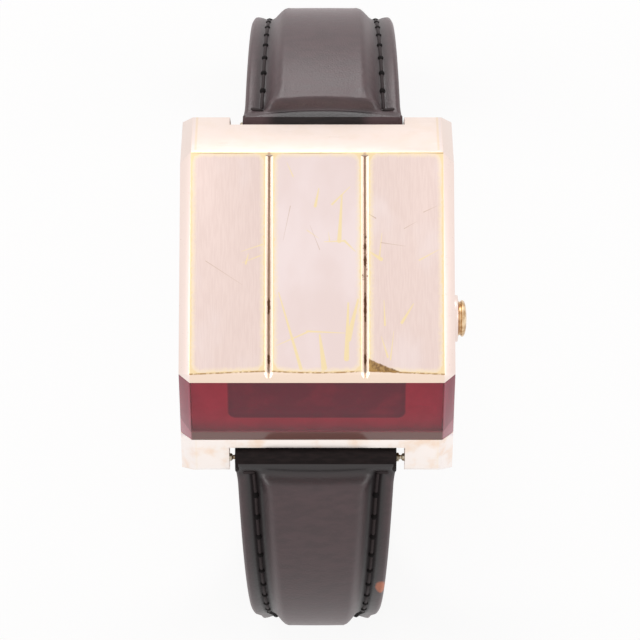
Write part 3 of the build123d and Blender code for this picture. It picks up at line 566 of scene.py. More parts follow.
def round_edges(piece, width, segments, angle, material=-1):
    """Bevel the edges that are sharper than an angle, and shade the rest smooth."""
    bevel = piece.modifiers.new("edges", "BEVEL")
    bevel.width = width
    bevel.segments = segments
    bevel.limit_method = "ANGLE"
    bevel.angle_limit = math.radians(angle)
    bevel.material = material
    bpy.ops.object.modifier_apply(modifier="edges")
    bpy.ops.object.shade_smooth_by_angle(angle=math.radians(angle + 10))


merge_distance = 0.002 * mm
flat_angle = math.radians(1)


def bevelled_copy(node, name, body, width, finishes, segments=2, angle=25):
    """Copy a CAD node, merge its faces and round its edges; the copy stands for the node."""
    piece = new_piece(name, nodes[node].data.copy())
    bpy.ops.mesh.customdata_custom_splitnormals_clear()
    bpy.ops.object.mode_set(mode="EDIT")
    bpy.ops.mesh.select_all(action="SELECT")
    bpy.ops.mesh.remove_doubles(threshold=merge_distance)
    bpy.ops.mesh.dissolve_limited(angle_limit=flat_angle)
    bpy.ops.object.mode_set(mode="OBJECT")
    round_edges(piece, width, segments, angle, material=len(finishes) - 1)
    dress(piece, *finishes)
    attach(piece, body)
    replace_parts(piece, node)
    print(name, len(piece.data.polygons), "faces")
    return piece


# %% Case body
case_edge = 0.13 * mm
panel_margin = 0.3 * mm
side_margin = 0.1 * mm
panel_drop = 3.2 * mm
groove_reach = 0.6 * mm
panel_slot, worn_slot = 1, 2
case_body = bevelled_copy("case_shell", "case_body", "case", case_edge, [case_gold, panel_gold, worn_gold])
panels_start = panel_crest_y - panel_margin
panels_end = panel_crest_y + panel_length * mm + panel_margin
panel_faces = 0
for face in case_body.data.polygons:
    middle = face.center
    aside = abs(middle.x - case_middle_x)
    on_slope = panels_start < middle.y < panels_end and middle.z > crest_height - panel_drop
    if on_slope and face.normal.z > 0.6 and aside < panel_side * mm + side_margin:
        if face.material_index != worn_slot or abs(aside - groove_place * mm) < groove_reach:
            face.material_index = panel_slot
            panel_faces += 1
print("panel faces", panel_faces)

# %% [markdown]
# ## Red window
# The lens is a solid strip of clear red plastic over the whole sloping edge. A grey film lies at
# its back, lighter round the outside and painted dark behind the middle as the shade of the
# opening, where it hides the unlit digits. Seen through the plastic it looks red with a dusky
# window. The lens's ends and its lower rim are nearly closed and look dusky purple.

# %% Red window
lens_edge = 0.08 * mm
# In millimetres, as the patterns count: where the ends start and how high the rim stands
ends_start, ends_full = 14.1, 14.35
rim_low, rim_high = 1.8, 2.2
red_glass = Finish("red_lens", shade(190, 33, 62), 0.05, Transmission_Weight=1.0, IOR=1.5)
across = case_places(red_glass)[0]
height = red_glass.place()[2]
haze = red_glass.noise(0.5, detail=3)
lens_ends = red_glass.ramp(red_glass.sum("ABSOLUTE", across), ends_start, ends_full)
above_foot = red_glass.times_plus(height, per_mm, -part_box("lens")[0].z / mm)
lens_rim = red_glass.fall(above_foot, rim_low, rim_high)
red_glass.roughen(red_glass.times_plus(lens_rim, 2.5, haze), 0.03, 0.12)
closed = any_of(red_glass, [red_glass.times(lens_ends, 0.6), red_glass.times(lens_rim, 0.9)])
red_glass.feed(red_glass.sum("SUBTRACT", 1.0, closed), red_glass.shader.inputs["Transmission Weight"])
glass_tone = red_glass.blend(lens_rim, shade(190, 33, 62), shade(131, 92, 86))
red_glass.color(red_glass.blend(lens_ends, glass_tone, shade(182, 112, 124)))
lens_piece = bevelled_copy("lens", "red_window", "case", lens_edge, [red_glass, red_glass])

# %% Film with painted shade at the back of the lens
window_ahead, window_below = 0.92 * mm, 0.44 * mm
window_run, window_drop = 5.81 * mm, 6.92 * mm
window_length = 9.03 * mm
film_width, film_gap, film_thick = 28.2 * mm, 0.3 * mm, 0.06 * mm
film_depth = 1.4 * mm
window_top = Vector((case_middle_x, panel_crest_y - window_ahead, crest_height - window_below))
down_window = Vector((0, -window_run, -window_drop)).normalized()
out_of_window = Vector((0, -window_drop, window_run)).normalized()
# The window of painted shade, in millimetres from the middle of the film's top edge
dusk_middle, dusk_half_width, dusk_bottom, dusk_corner = -0.05, 9.95, 7.35, 0.9
painted_shade_film = Finish("painted_shade_film", shade(240, 198, 224), 0.6)
x, y, z = painted_shade_film.place()
aside = painted_shade_film.sum("ABSOLUTE", painted_shade_film.times_plus(x, per_mm, -case_middle_x / mm - dusk_middle))
down_per_drop = per_mm / -down_window.z
down = painted_shade_film.times_plus(z, -down_per_drop, window_top.z * down_per_drop)
over_x = painted_shade_film.sum("MAXIMUM", painted_shade_film.sum("SUBTRACT", aside, dusk_half_width - dusk_corner), 0.0)
over_y = painted_shade_film.sum("MAXIMUM", painted_shade_film.sum("SUBTRACT", down, dusk_bottom - dusk_corner), 0.0)
out = painted_shade_film.sum("SUBTRACT", painted_shade_film.length(over_x, over_y), dusk_corner)
film_mottle = painted_shade_film.noise(0.35, detail=4)
film_tone = painted_shade_film.mottle(film_mottle, 0.3, 0.7, shade(232, 190, 216), shade(246, 204, 230))
window_shade = painted_shade_film.mottle(film_mottle, 0.45, 0.72, shade(156, 142, 184), shade(182, 152, 192))
# More painted shade darkens the window towards its edge, as the step of the opening shades it
window_shade = painted_shade_film.paint(window_shade, painted_shade_film.ramp(out, -0.75, -0.3), 0.3, shade(126, 122, 166))
painted_shade_film.color(painted_shade_film.blend(painted_shade_film.fall(out, -0.12, 0.14), film_tone, window_shade))
bpy.ops.object.select_all(action="DESELECT")
bpy.ops.mesh.primitive_cube_add(size=1)
film = bpy.context.object
film.name = "painted_shade_film"
film.scale = (film_width, window_length - film_gap, film_thick)
film.rotation_euler = out_of_window.to_track_quat("Z", "Y").to_euler()
film.location = window_top + down_window * window_length / 2 - out_of_window * film_depth
bpy.ops.object.transform_apply(location=True, rotation=True, scale=True)
dress(film, painted_shade_film)
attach(film, "case")
print("film laid", round(film_depth / mm, 2), "mm deep in the lens")

# %% [markdown]
# ## Strap
# Each strap half is waxed calf leather over a felt pad. The middle line of the strap leaves the
# spring bar, bends down round a wrist's curve, runs straight and turns onto the table. The same
# arcs as in the exact model are used, so the leather sits where its solid is. The padded strap
# is a grid of points: stations along the line, and across it a flat flange, a channel for the
# stitches and a crown. Near the bar the fold is as thick over its whole width.

# %% The strap's middle line
root_angle = math.radians(20)
bend_radius = 24.9 * mm
straight_length = 22.2 * mm
foot_radius = 13 * mm
strap_thick = 2.2 * mm
strap_root_width = 18.05 * mm
strap_tail_width = 14.0 * mm
bend_length = bend_radius * (math.pi / 2 - root_angle)
foot_start = bend_length + straight_length
flat_start = foot_start + foot_radius * math.pi / 2
column_reach = bend_radius * (1 - math.sin(root_angle))


class Half:
    """The measures of one strap half, by name."""

    def __init__(self, **measures):
        self.__dict__.update(measures)


# way is the side of the case on Y and shift a slip along the bar. The crown sinks towards the
# tail, faster with a higher crown_fade. The channel is painted with shade by how strongly it is set; above 1
# the painted shade makes it matt as well.
upper_half = Half(
    name="upper", way=1, bar_y=upper_bar_y, shift=0.64 * mm, length=75.3 * mm, taper_end=75 * mm,
    crown_fade=2.7, fold_end=0.9 * mm, fold_reach=1.3 * mm, root_bow=0.85 * mm, pad_gap=0.95 * mm,
    shoulder_lip=0.07 * mm, crease_depth=-0.1 * mm, ridge_height=0.05 * mm, channel_width=0.76 * mm,
    channel_shade=0.85, first_stitch=2.1 * mm, last_stitch=66 * mm, shade_full=1.2 * mm, shade_end=2.0 * mm,
)
# The lower fold is seen more from its far side, so its pad starts sooner
lower_half = Half(
    name="lower", way=-1, bar_y=lower_bar_y, shift=-0.15 * mm, length=98.0 * mm, taper_end=40 * mm,
    crown_fade=0.6, fold_end=0.7 * mm, fold_reach=0.95 * mm, root_bow=0.5 * mm, pad_gap=1.6 * mm,
    shoulder_lip=0.02 * mm, crease_depth=-0.05 * mm, ridge_height=0.0, channel_width=1.0 * mm,
    channel_shade=1.7, first_stitch=1.5 * mm, last_stitch=90 * mm, shade_full=0.9 * mm, shade_end=3.4 * mm,
)
halves = (upper_half, lower_half)


def strap_point(half, along, across, height):
    """A place on a strap half: along it, across it, and out from its middle line."""
    if along < bend_length:
        heading = root_angle + along / bend_radius
        reach = bend_radius * (math.sin(heading) - math.sin(root_angle))
        level = bar_height - bend_radius * (math.cos(root_angle) - math.cos(heading))
    elif along < foot_start:
        heading = math.pi / 2
        reach = column_reach
        level = bar_height - bend_radius * math.cos(root_angle) - (along - bend_length)
    elif along < flat_start:
        turn = (along - foot_start) / foot_radius
        heading = math.pi / 2 + turn
        reach = column_reach - foot_radius * (1 - math.cos(turn))
        level = strap_thick / 2 + foot_radius * (1 - math.sin(turn))
    else:
        heading = math.pi
        reach = column_reach - foot_radius - (along - flat_start)
        level = strap_thick / 2
    return Vector((
        case_middle_x + half.shift + across,
        half.bar_y + half.way * (reach + height * math.sin(heading)),
        level + height * math.cos(heading),
    ))


def smooth(value, low, high):
    """A smooth rise from 0 at low to 1 at high."""
    part = min(max((value - low) / (high - low), 0), 1)
    return part * part * (3 - 2 * part)


# %% Padding, channel and fold
crown_rise = 1.5 * mm
pad_end = 60 * mm
fold_rise = 0.62 * mm
fold_swell, swell_start, swell_end = 0.18 * mm, 0.4 * mm, 3.2 * mm
step_before, step_after = 0.3 * mm, 0.8 * mm
rise_before = 0.1 * mm
flare_length = 3 * mm
shoulder_start = 0.65 * mm
shoulder_width = 1.6 * mm
crease_width, ridge_width, lip_width = 0.28 * mm, 0.3 * mm, 0.4 * mm
ridge_gap = 0.1 * mm
thinning, thin_start, thin_end = 0.22 * mm, 5 * mm, 20 * mm
stitch_inset = 1.95 * mm
stitch_pitch = 2.8 * mm
channel_depth = 0.36 * mm
channel_start, channel_run_out = 0.5 * mm, 0.8 * mm


def hump(value, middle, width):
    """A soft hump, 1 at its middle."""
    return math.exp(-(((value - middle) / width) ** 2))


def strap_half_width(half, along):
    """Half the strap's width, drawn in from the lugs to the tail, and a little fuller at the fold."""
    share = min(max(along, 0) / half.taper_end, 1)
    fuller = fold_swell * (1 - smooth(along, swell_start, swell_end))
    return (strap_root_width + (strap_tail_width - strap_root_width) * share) / 2 + fuller


def pad_rise(half, along, from_edge):
    """How far the padding lifts the leather at a place that far in from the strap's edge."""
    half_width = strap_half_width(half, along)
    middle = 1 - ((half_width - from_edge) / half_width) ** 2
    root = half.fold_end + half.root_bow * middle
    fold = fold_rise * (1 - smooth(along, root - step_before, root + step_after))
    # The shoulders flare out towards the root
    flare = 1 - smooth(along, root, root + flare_length)
    climb = from_edge - stitch_inset - shoulder_start * (1 - 0.7 * flare)
    climb = min(max(climb / (shoulder_width * (1 - 0.3 * flare)), 0), 1)
    inwards = 0.5 * math.sin(climb * math.pi / 2) + 0.5 * climb * climb * (3 - 2 * climb)
    swell = smooth(along, root - rise_before, root + half.pad_gap)
    full = half.fold_end + half.pad_gap
    fade = max(math.cos(min(max(along - full, 0) / (pad_end - full), 1) * math.pi / 2), 0) ** half.crown_fade
    crease = half.crease_depth * hump(along, root, crease_width)
    crease += half.ridge_height * hump(along, root + half.pad_gap + ridge_gap, ridge_width)
    lip_place = stitch_inset + shoulder_start + shoulder_width
    lip = half.shoulder_lip * hump(from_edge, lip_place, lip_width) * swell * fade
    thin = -thinning * smooth(along, thin_start, thin_end) * (1 - inwards) if half is upper_half else 0
    return fold + crease + thin + lip + crown_rise * swell * fade * inwards * (0.9 + 0.14 * middle)


def stitch_channel(half, along, from_edge):
    """How deep in the stitched channel a place is, from 0 to 1."""
    first, last = half.first_stitch, half.last_stitch
    ends = smooth(along, first - channel_start, first) * (1 - smooth(along, last, last + channel_run_out))
    return hump(from_edge, stitch_inset, half.channel_width) * ends


print("strap halves", [round(half.length / mm, 1) for half in halves], "mm long")

# %% [markdown]
# A cross-section starts at one edge, goes over the crown to the other and back below. Rings of
# these points, joined by quads, make the leather. Each point keeps how dark the leather is there
# as an attribute, and the finish darkens it: painted shade in the channel and where the fold
# runs out, and dye on the edges.

# %% Leather halves
crown_points = 52
crown_sweep = 0.94 * math.pi
station_step, lining_step = 0.35 * mm, 0.7 * mm
root_end = 5 * mm
root_steps = 40
round_edge = 0.5 * mm
under_height = -0.45 * mm
under_rise, under_rise_start, under_rise_end = 1.5 * mm, 0.2 * mm, 2.4 * mm
corner_size, side_bulge = 0.15 * mm, 0.03 * mm
pale_start, pale_full = 4.6 * mm, 6.6 * mm
tail_length = 8 * mm


def root_shade(half, along, aside):
    """How much painted shade the leather has where its fold runs out; the upper fold's painted shade is
    paler at its sides.
    """
    paler = 0.75 * smooth(aside, pale_start, pale_full) if half is upper_half else 0
    return (1 - smooth(along, half.shade_full, half.shade_end)) * (1 - paler)


def leather_section(half, along):
    """Points across the strap: across, height, and how dark the leather is there, from painted shade and the
    edges' dye.
    """
    half_width = strap_half_width(half, along)
    top = strap_thick / 2
    # The leather's lower side rises over the spring bar
    under = under_height + under_rise * (1 - smooth(along, under_rise_start, under_rise_end))
    points = []
    for index in range(crown_points + 1):
        turn = (index / crown_points - 0.5) * crown_sweep
        across = half_width * math.sin(turn) / math.sin(crown_sweep / 2)
        from_edge = half_width - abs(across)
        drop = round_edge * (1 - min(from_edge / round_edge, 1)) ** 2
        deep = stitch_channel(half, along, from_edge)
        # Painted shade of the channel or of the fold's run-out, whichever is darker
        shade_and_edge_dye = max(half.channel_shade * deep, root_shade(half, along, abs(across)))
        height = top + pad_rise(half, along, from_edge) - channel_depth * deep - drop
        points.append((across, height, shade_and_edge_dye))
    side = [
        (half_width + side_bulge, (top + under) / 2, 0.3), (half_width, under + corner_size, 0.5),
        (half_width - corner_size, under, 0.5),
    ]
    points += side
    points += [(-across, height, shade_and_edge_dye) for across, height, shade_and_edge_dye in reversed(side)]
    return points


def lining_section(half, along):
    """A plain sheet under the leather, a little narrower than it."""
    half_width = strap_half_width(half, along) - lining_inset
    top, bottom = under_height + lining_gap, -strap_thick / 2
    corners = [
        (-half_width, top), (half_width, top), (half_width, bottom + corner_size),
        (half_width - corner_size, bottom), (0, bottom), (-half_width + corner_size, bottom),
        (-half_width, bottom + corner_size),
    ]
    return [(across, height, 0.0) for across, height in corners]


def strap_mesh(name, half, start, end, step, section):
    """Join rings of section points into a closed skin."""
    # Stations are close together at the root, where the shape changes fast
    places = [start + (root_end - start) * share / root_steps for share in range(root_steps)]
    count = round((end - root_end) / step)
    places += [root_end + (end - root_end) * share / count for share in range(count + 1)]
    vertices, faces, depth = [], [], []
    for station, along in enumerate(places):
        # The lower half's end is drawn in to a rounded point
        past = 0 if half is upper_half else max(along - half.length + tail_length, 0)
        trim = max(1 - (past / tail_length) ** 2.6, 0.03)
        ring = section(half, along)
        size = len(ring)
        for across, height, deep in ring:
            vertices.append(strap_point(half, along, across * trim, height))
            depth.append(deep)
        if station:
            for index in range(size):
                following = (index + 1) % size
                low, high = (station - 1) * size, station * size
                faces.append((low + index, low + following, high + following, high + index))
    faces.append(tuple(range(size)))
    faces.append(tuple(range(len(vertices) - size, len(vertices))))
    piece = skin(name, vertices, faces)
    # The attribute carries the painted shade and the edges' dye
    channel = piece.data.attributes.new("channel", "FLOAT", "POINT")
    channel.data.foreach_set("value", depth)
    return piece


# %% Leather finish
leather_gloss, leather_sheen = 0.68, 0.25
pore_depth, soft_depth = 0.05 * mm, 0.06 * mm
calf_leather = Finish("calf_leather", shade(66, 48, 51), 0.44, Sheen_Roughness=0.3)
calf_leather.shader.inputs["Sheen Tint"].default_value = shade(240, 224, 226)
pores = calf_leather.noise(4.5, detail=4)
soft_creases = calf_leather.noise((0.5, 1.3, 1.3), detail=5)
shade_and_dye_share = calf_leather.add("Attribute", attribute_name="channel").outputs["Fac"]
# The attribute paints the leather nearly black, as shade in the channel and at the fold's run-out and as dye
# on the edges; where the channel's painted shade runs above 1, gloss and sheen are cut too, as more painted
# shade
leather_tone = calf_leather.mottle(soft_creases, 0.3, 0.7, shade(60, 42, 45), shade(71, 51, 54))
leather_tone = calf_leather.blend(shade_and_dye_share, leather_tone, shade(22, 14, 16))
matt = calf_leather.ramp(shade_and_dye_share, 1.0, 1.5)
gloss = calf_leather.times_plus(matt, -0.55, leather_gloss)
sheen = calf_leather.times_plus(matt, -leather_sheen, leather_sheen)
calf_leather.feed(gloss, calf_leather.shader.inputs["Specular IOR Level"])
calf_leather.feed(sheen, calf_leather.shader.inputs["Sheen Weight"])
# A scuff near the lower half's right edge shows orange-red leather
scuff_along, scuff_across = 18.6 * mm, 7.6 * mm
scuff_reach = (0.65 * mm, 1.1 * mm, 1.5 * mm)
scuff_place = strap_point(lower_half, scuff_along, scuff_across, strap_thick / 2)
off_scuff = calf_leather.times(soft_creases, 1.2)
for value, middle, reach in zip(calf_leather.place(), scuff_place, scuff_reach):
    offset = calf_leather.times_plus(value, 1 / reach, -middle / reach)
    off_scuff = calf_leather.times_plus(offset, offset, off_scuff)
scuff = calf_leather.fall(off_scuff, 1.1, 1.9)
calf_leather.color(calf_leather.paint(leather_tone, scuff, 0.9, shade(190, 102, 58)))
calf_leather.roughen(soft_creases, 0.38, 0.52)
calf_leather.bump(pores, pore_depth, 0.8)
calf_leather.bump(soft_creases, soft_depth, 0.15)
print("calf leather with", len(calf_leather.nodes), "nodes")

# %% Folds painted with shade
# The folds are painted nearly black and dull, as shade where they curl in against the case; the upper fold's
# painted shade is lighter at its sides
fold_crease_depth = 0.08 * mm
painted_shade_fold = Finish("painted_shade_fold", shade(30, 23, 23), 0.6, Specular_IOR_Level=0.12)
fold_creases = painted_shade_fold.noise((0.6, 2.2, 2.2), detail=4)
fold_tone = painted_shade_fold.mottle(fold_creases, 0.35, 0.7, shade(24, 18, 18), shade(36, 28, 28))
x, y = painted_shade_fold.place()[:2]
aside = painted_shade_fold.sum("ABSOLUTE", painted_shade_fold.times_plus(x, per_mm, -case_middle_x / mm))
paler = painted_shade_fold.ramp(aside, pale_start / mm, pale_full / mm)
paler = painted_shade_fold.times(paler, painted_shade_fold.sum("GREATER_THAN", y, case_middle_y))
painted_shade_fold.color(painted_shade_fold.paint(fold_tone, paler, 0.8, shade(74, 56, 58)))
painted_shade_fold.roughen(fold_creases, 0.5, 0.68)
painted_shade_fold.bump(fold_creases, fold_crease_depth, 0.3)
print("waxed fold with", len(painted_shade_fold.nodes), "nodes")

# %% Lining finish
nap_depth = 0.03 * mm
nubuck = Finish("nubuck_lining", shade(126, 90, 66), 0.85, Sheen_Weight=0.3)
nap = nubuck.noise(6, detail=3)
wear_marks = nubuck.noise(0.2, detail=4)
nap_tone = nubuck.blend(nap, shade(112, 78, 56), shade(140, 102, 76))
nubuck.color(nubuck.mottle(wear_marks, 0.45, 0.8, nap_tone, shade(102, 72, 53)))
nubuck.bump(nap, nap_depth, 0.5)
print("nubuck with", len(nubuck.nodes), "nodes")

# %% Both halves, with the holes and the tang's slot
slot_size = (2.0 * mm, 5.0 * mm, 6 * mm)
hole_count, hole_pitch, hole_from_end = 6, 6 * mm, 22 * mm
hole_size, hole_under, hole_over = 0.8 * mm, 2 * mm, 3 * mm


def cutters_for(half):
    """Solids that cut the strap: a slot in the upper half, a row of holes in the lower one."""
    bpy.ops.object.select_all(action="DESELECT")
    if half is upper_half:
        bpy.ops.mesh.primitive_cube_add(size=1, location=strap_point(half, half.length, 0, 0))
        bpy.context.object.scale = slot_size
        return [bpy.context.object]
    cutters = []
    for hole in range(hole_count):
        along = half.length - hole_from_end - hole * hole_pitch
        low_end = strap_point(half, along, 0, -hole_under)
        high_end = strap_point(half, along, 0, hole_over)
        bpy.ops.mesh.primitive_cylinder_add(vertices=24, radius=hole_size, depth=hole_under + hole_over)
        cutter = bpy.context.object
        cutter.rotation_euler = (high_end - low_end).to_track_quat("Z", "Y").to_euler()
        cutter.location = (low_end + high_end) / 2
        cutters.append(cutter)
    return cutters


def cut_away(piece, cutters):
    """Take each cutter out of the piece, then delete it."""
    for cutter in cutters:
        cut = piece.modifiers.new("cut", "BOOLEAN")
        cut.object = cutter
        cut.solver = "EXACT"
        only_selected(piece)
        bpy.ops.object.modifier_apply(modifier="cut")
        bpy.data.objects.remove(cutter)


leather_start, lining_start = 0.1 * mm, 3 * mm
upper_end_gap, lining_end_gap = 0.9 * mm, 0.3 * mm
lining_inset, lining_gap = 0.12 * mm, 0.03 * mm
fold_height = 3 * mm
for half in halves:
    end = half.length - upper_end_gap if half is upper_half else half.length
    leather = strap_mesh(
        half.name + "_strap_leather", half, leather_start, end, station_step, leather_section
    )
    lining = strap_mesh(
        half.name + "_strap_lining", half, lining_start, end - lining_end_gap, lining_step, lining_section
    )
    for piece, finish in ((leather, calf_leather), (lining, nubuck)):
        cut_away(piece, cutters_for(half))
        only_selected(piece)
        bpy.ops.object.shade_smooth_by_angle(angle=math.radians(48))
        dress(piece, finish, painted_shade_fold)
        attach(piece, half.name + "_strap")
        print(piece.name, len(piece.data.polygons), "faces")
    # Faces of the fold near the bar take the fold's painted shade
    for face in leather.data.polygons:
        in_reach = abs(face.center.y - half.bar_y) < half.fold_reach
        if in_reach and face.center.z > bar_height - fold_height:
            face.material_index = 1
    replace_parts(leather, half.name + "_leather", half.name + "_filler")
    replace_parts(lining, half.name + "_lining")

# %% [markdown]
# The leather's ends fold round the spring bars and the buckle's bar. A fold is a sleeve: a
# cylinder with its ends inset and joined, which leaves the bar's bore through it. The stitches
# are short round-ended strands of dark thread, sunk in the channel, with a stitch across at the
# start of each row.


# %% Folded ends
def sleeve(name, middle, size, body, finish):
    """A leather tube round a bar that runs along X, by its width, radius and bore."""
    width, radius, bore = size
    bpy.ops.object.select_all(action="DESELECT")
    bpy.ops.mesh.primitive_cylinder_add(
        vertices=48, radius=radius, depth=width, location=middle, rotation=(0, math.pi / 2, 0)
    )
    piece = bpy.context.object
    piece.name = name
    bpy.ops.object.transform_apply(location=True, rotation=True, scale=True)
    bpy.context.scene.tool_settings.mesh_select_mode = (False, False, True)
    for face in piece.data.polygons:
        face.select = abs(face.normal.x) > 0.9
    bpy.ops.object.mode_set(mode="EDIT")
    bpy.ops.mesh.inset(thickness=radius - bore)
    bpy.ops.mesh.bridge_edge_loops()
    bpy.ops.mesh.select_all(action="SELECT")
    bpy.ops.mesh.normals_make_consistent(inside=False)
    bpy.ops.object.mode_set(mode="OBJECT")
    round_edges(piece, fold_edge, 2, 40)
    dress(piece, finish)
    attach(piece, body)
    print(name, len(piece.data.polygons), "faces")


fold_edge = 0.14 * mm
root_fold = (18.4 * mm, 1.7 * mm, 0.97 * mm)
buckle_fold = (5.9 * mm, 1.27 * mm, 0.66 * mm)
buckle_fold_aside = 3.95 * mm
# The folds round the spring bars take the fold's painted shade
for half in halves:
    root_middle = (case_middle_x + half.shift, half.bar_y, bar_height)
    sleeve(half.name + "_strap_root", root_middle, root_fold, half.name + "_strap", painted_shade_fold)
buckle_bar_low, buckle_bar_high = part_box("buckle_bar")
buckle_middle = (buckle_bar_low + buckle_bar_high) / 2
for side, side_name in ((-1, "left"), (1, "right")):
    loop_middle = buckle_middle + Vector((side * buckle_fold_aside, 0, 0))
    sleeve("buckle_loop_" + side_name, loop_middle, buckle_fold, "upper_strap", calf_leather)

# %% Thread and holes
twist_depth = 0.03 * mm
waxed_thread = Finish("waxed_thread", shade(30, 23, 23), 0.65, Specular_IOR_Level=0.3)
twist = waxed_thread.noise(7, detail=2)
waxed_thread.color(waxed_thread.blend(twist, shade(32, 25, 26), shade(54, 43, 44)))
waxed_thread.bump(twist, twist_depth, 0.6)
# The holes are dark strands of painted shade
painted_hole_shade = Finish("painted_hole_shade", shade(12, 9, 9), 0.8, Specular_IOR_Level=0.15)
painted_hole_shade.color(painted_hole_shade.blend(painted_hole_shade.noise(7), shade(8, 6, 6), shade(20, 15, 15)))
thread_sides = 8
# Rings of a strand: by which end, how many radii past it, and how thick in radii
strand_rings = [(0, -1.0, 0.2), (0, -0.6, 0.75), (0, 0, 1), (1, 0, 1), (1, 0.6, 0.75), (1, 1.0, 0.2)]


def strand(vertices, faces, start, end, out, radius):
    """Add one round-ended strand of thread between two places."""
    run = end - start
    side = run.cross(out).normalized()
    lift = side.cross(run).normalized()
    first = len(vertices)
    for ring, (at_end, past, swell) in enumerate(strand_rings):
        middle = start + run * (at_end + past * radius / run.length)
        for corner in range(thread_sides):
            angle = 2 * math.pi * corner / thread_sides
            offset = side * math.cos(angle) + lift * math.sin(angle)
            vertices.append(middle + offset * (radius * swell))
            if ring:
                high, following = first + ring * thread_sides, (corner + 1) % thread_sides
                low = high - thread_sides
                faces.append((low + corner, low + following, high + following, high + corner))
    faces.append(tuple(range(first, first + thread_sides)))
    faces.append(tuple(range(len(vertices) - thread_sides, len(vertices))))


def on_leather(half, side, along, from_edge, sink):
    """A place on the leather's top, that far in from one edge and sunk by some depth."""
    half_width = strap_half_width(half, along)
    height = strap_thick / 2 + pad_rise(half, along, from_edge)
    height -= channel_depth * stitch_channel(half, along, from_edge) + sink
    return strap_point(half, along, side * (half_width - from_edge), height)


# %% Stitches
thread_radius, hole_radius = 0.23 * mm, 0.42 * mm
stitch_gap = 0.7 * mm
thread_sink, cross_sink, hole_sink = 0.05 * mm, 0.03 * mm, 0.15 * mm
hole_start, hole_end = 0.24 * mm, 0.46 * mm
cross_inset = 0.95 * mm
for half in halves:
    vertices, faces, hole_faces = [], [], []
    first = half.first_stitch
    count = int((half.last_stitch - first) / stitch_pitch)
    for side in (-1, 1):
        for index in range(count):
            thread_start = first + index * stitch_pitch + stitch_gap / 2
            thread_end = thread_start + stitch_pitch - stitch_gap
            start = on_leather(half, side, thread_start, stitch_inset, thread_sink)
            end = on_leather(half, side, thread_end, stitch_inset, thread_sink)
            out = on_leather(half, side, thread_start, stitch_inset, -mm) - start
            strand(vertices, faces, start, end, out, thread_radius)
            # The hole that the thread goes down through is a wide strand painted nearly black, as painted
            # shade
            start = on_leather(half, side, thread_end + hole_start, stitch_inset, hole_sink)
            end = on_leather(half, side, thread_end + hole_end, stitch_inset, hole_sink)
            before = len(faces)
            strand(vertices, faces, start, end, out, hole_radius)
            hole_faces += range(before, len(faces))
        start = on_leather(half, side, first, stitch_inset, cross_sink)
        end = on_leather(half, side, first, cross_inset, cross_sink)
        out = on_leather(half, side, first, stitch_inset, -mm) - start
        strand(vertices, faces, start, end, out, thread_radius)
    stitches = skin(half.name + "_stitches", vertices, faces)
    bpy.ops.object.shade_smooth()
    dress(stitches, waxed_thread, painted_hole_shade)
    for index in hole_faces:
        stitches.data.polygons[index].material_index = 1
    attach(stitches, half.name + "_strap")
    print(stitches.name, len(faces), "faces in", count * 2 + 2, "stitches")

# %% [markdown]
# ## Keepers, buckle and spring bars
# The keepers are leather loops, and the buckle is polished gold plate. Both are exact pieces
# with rounded edges. A spring bar is a tube inside the strap's fold with slim waisted ends.

# %% Keepers and buckle
keeper_edge, buckle_edge, tang_edge = 0.22 * mm, 0.28 * mm, 0.16 * mm
# The loops are drawn in a little from the sides so that they hug the strap, and the free one
# is slimmer on its outer side too
keeper_shares = {"fixed_keeper": (0.955, 1), "free_keeper": (0.97, 0.88)}
strap_middle_x = case_middle_x + upper_half.shift
strap_y = upper_bar_y + column_reach
for node, (across_share, outer_share) in keeper_shares.items():
    body = "upper_strap" if node == "fixed_keeper" else node
    keeper = bevelled_copy(node, node + "_loop", body, keeper_edge, [calf_leather] * 2, segments=3)
    for vertex in keeper.data.vertices:
        vertex.co.x = strap_middle_x + (vertex.co.x - strap_middle_x) * across_share
        if vertex.co.y > strap_y:
            vertex.co.y = strap_y + (vertex.co.y - strap_y) * outer_share
bow = bevelled_copy("buckle_frame", "buckle_bow", "buckle", buckle_edge, [polished_gold] * 2, segments=3)
pin = bevelled_copy("buckle_tang", "buckle_pin", "tang", tang_edge, [polished_gold] * 2, segments=3)

# %% Spring bars
bar_steel = Finish("bar_steel", shade(196, 186, 168), 0.3, metallic=1)
stain = bar_steel.noise(1.5, detail=4)
bar_steel.color(bar_steel.mottle(stain, 0.42, 0.62, shade(196, 186, 168), shade(128, 104, 74)))
bar_steel.roughen(stain, 0.22, 0.5)
merge_spun = 0.001 * mm


def turned(name, profile, middle, body, finish):
    """Spin a profile of (place along X, radius) pairs in millimetres round an X axis."""
    mesh = bpy.data.meshes.new(name)
    vertices = [(place * mm, 0, radius * mm) for place, radius in profile]
    mesh.from_pydata(vertices, [(index, index + 1) for index in range(len(vertices) - 1)], [])
    piece = new_piece(name, mesh)
    bpy.ops.object.mode_set(mode="EDIT")
    bpy.ops.mesh.select_all(action="SELECT")
    bpy.ops.mesh.spin(steps=40, angle=2 * math.pi, center=(0, 0, 0), axis=(1, 0, 0))
    bpy.ops.mesh.select_all(action="SELECT")
    bpy.ops.mesh.remove_doubles(threshold=merge_spun)
    bpy.ops.mesh.normals_make_consistent(inside=False)
    bpy.ops.object.mode_set(mode="OBJECT")
    piece.location = middle
    bpy.ops.object.transform_apply(location=True, rotation=True, scale=True)
    bpy.ops.object.shade_smooth_by_angle(angle=math.radians(38))
    dress(piece, finish)
    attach(piece, body)
    print(name, len(piece.data.polygons), "faces")
    return piece


bar_profile = [(-9.35, 0.0), (-9.35, 0.42), (-9.25, 0.5), (-8.95, 0.5), (-8.85, 0.82), (-8.7, 0.9)]
bar_profile += [(-place, radius) for place, radius in reversed(bar_profile)]
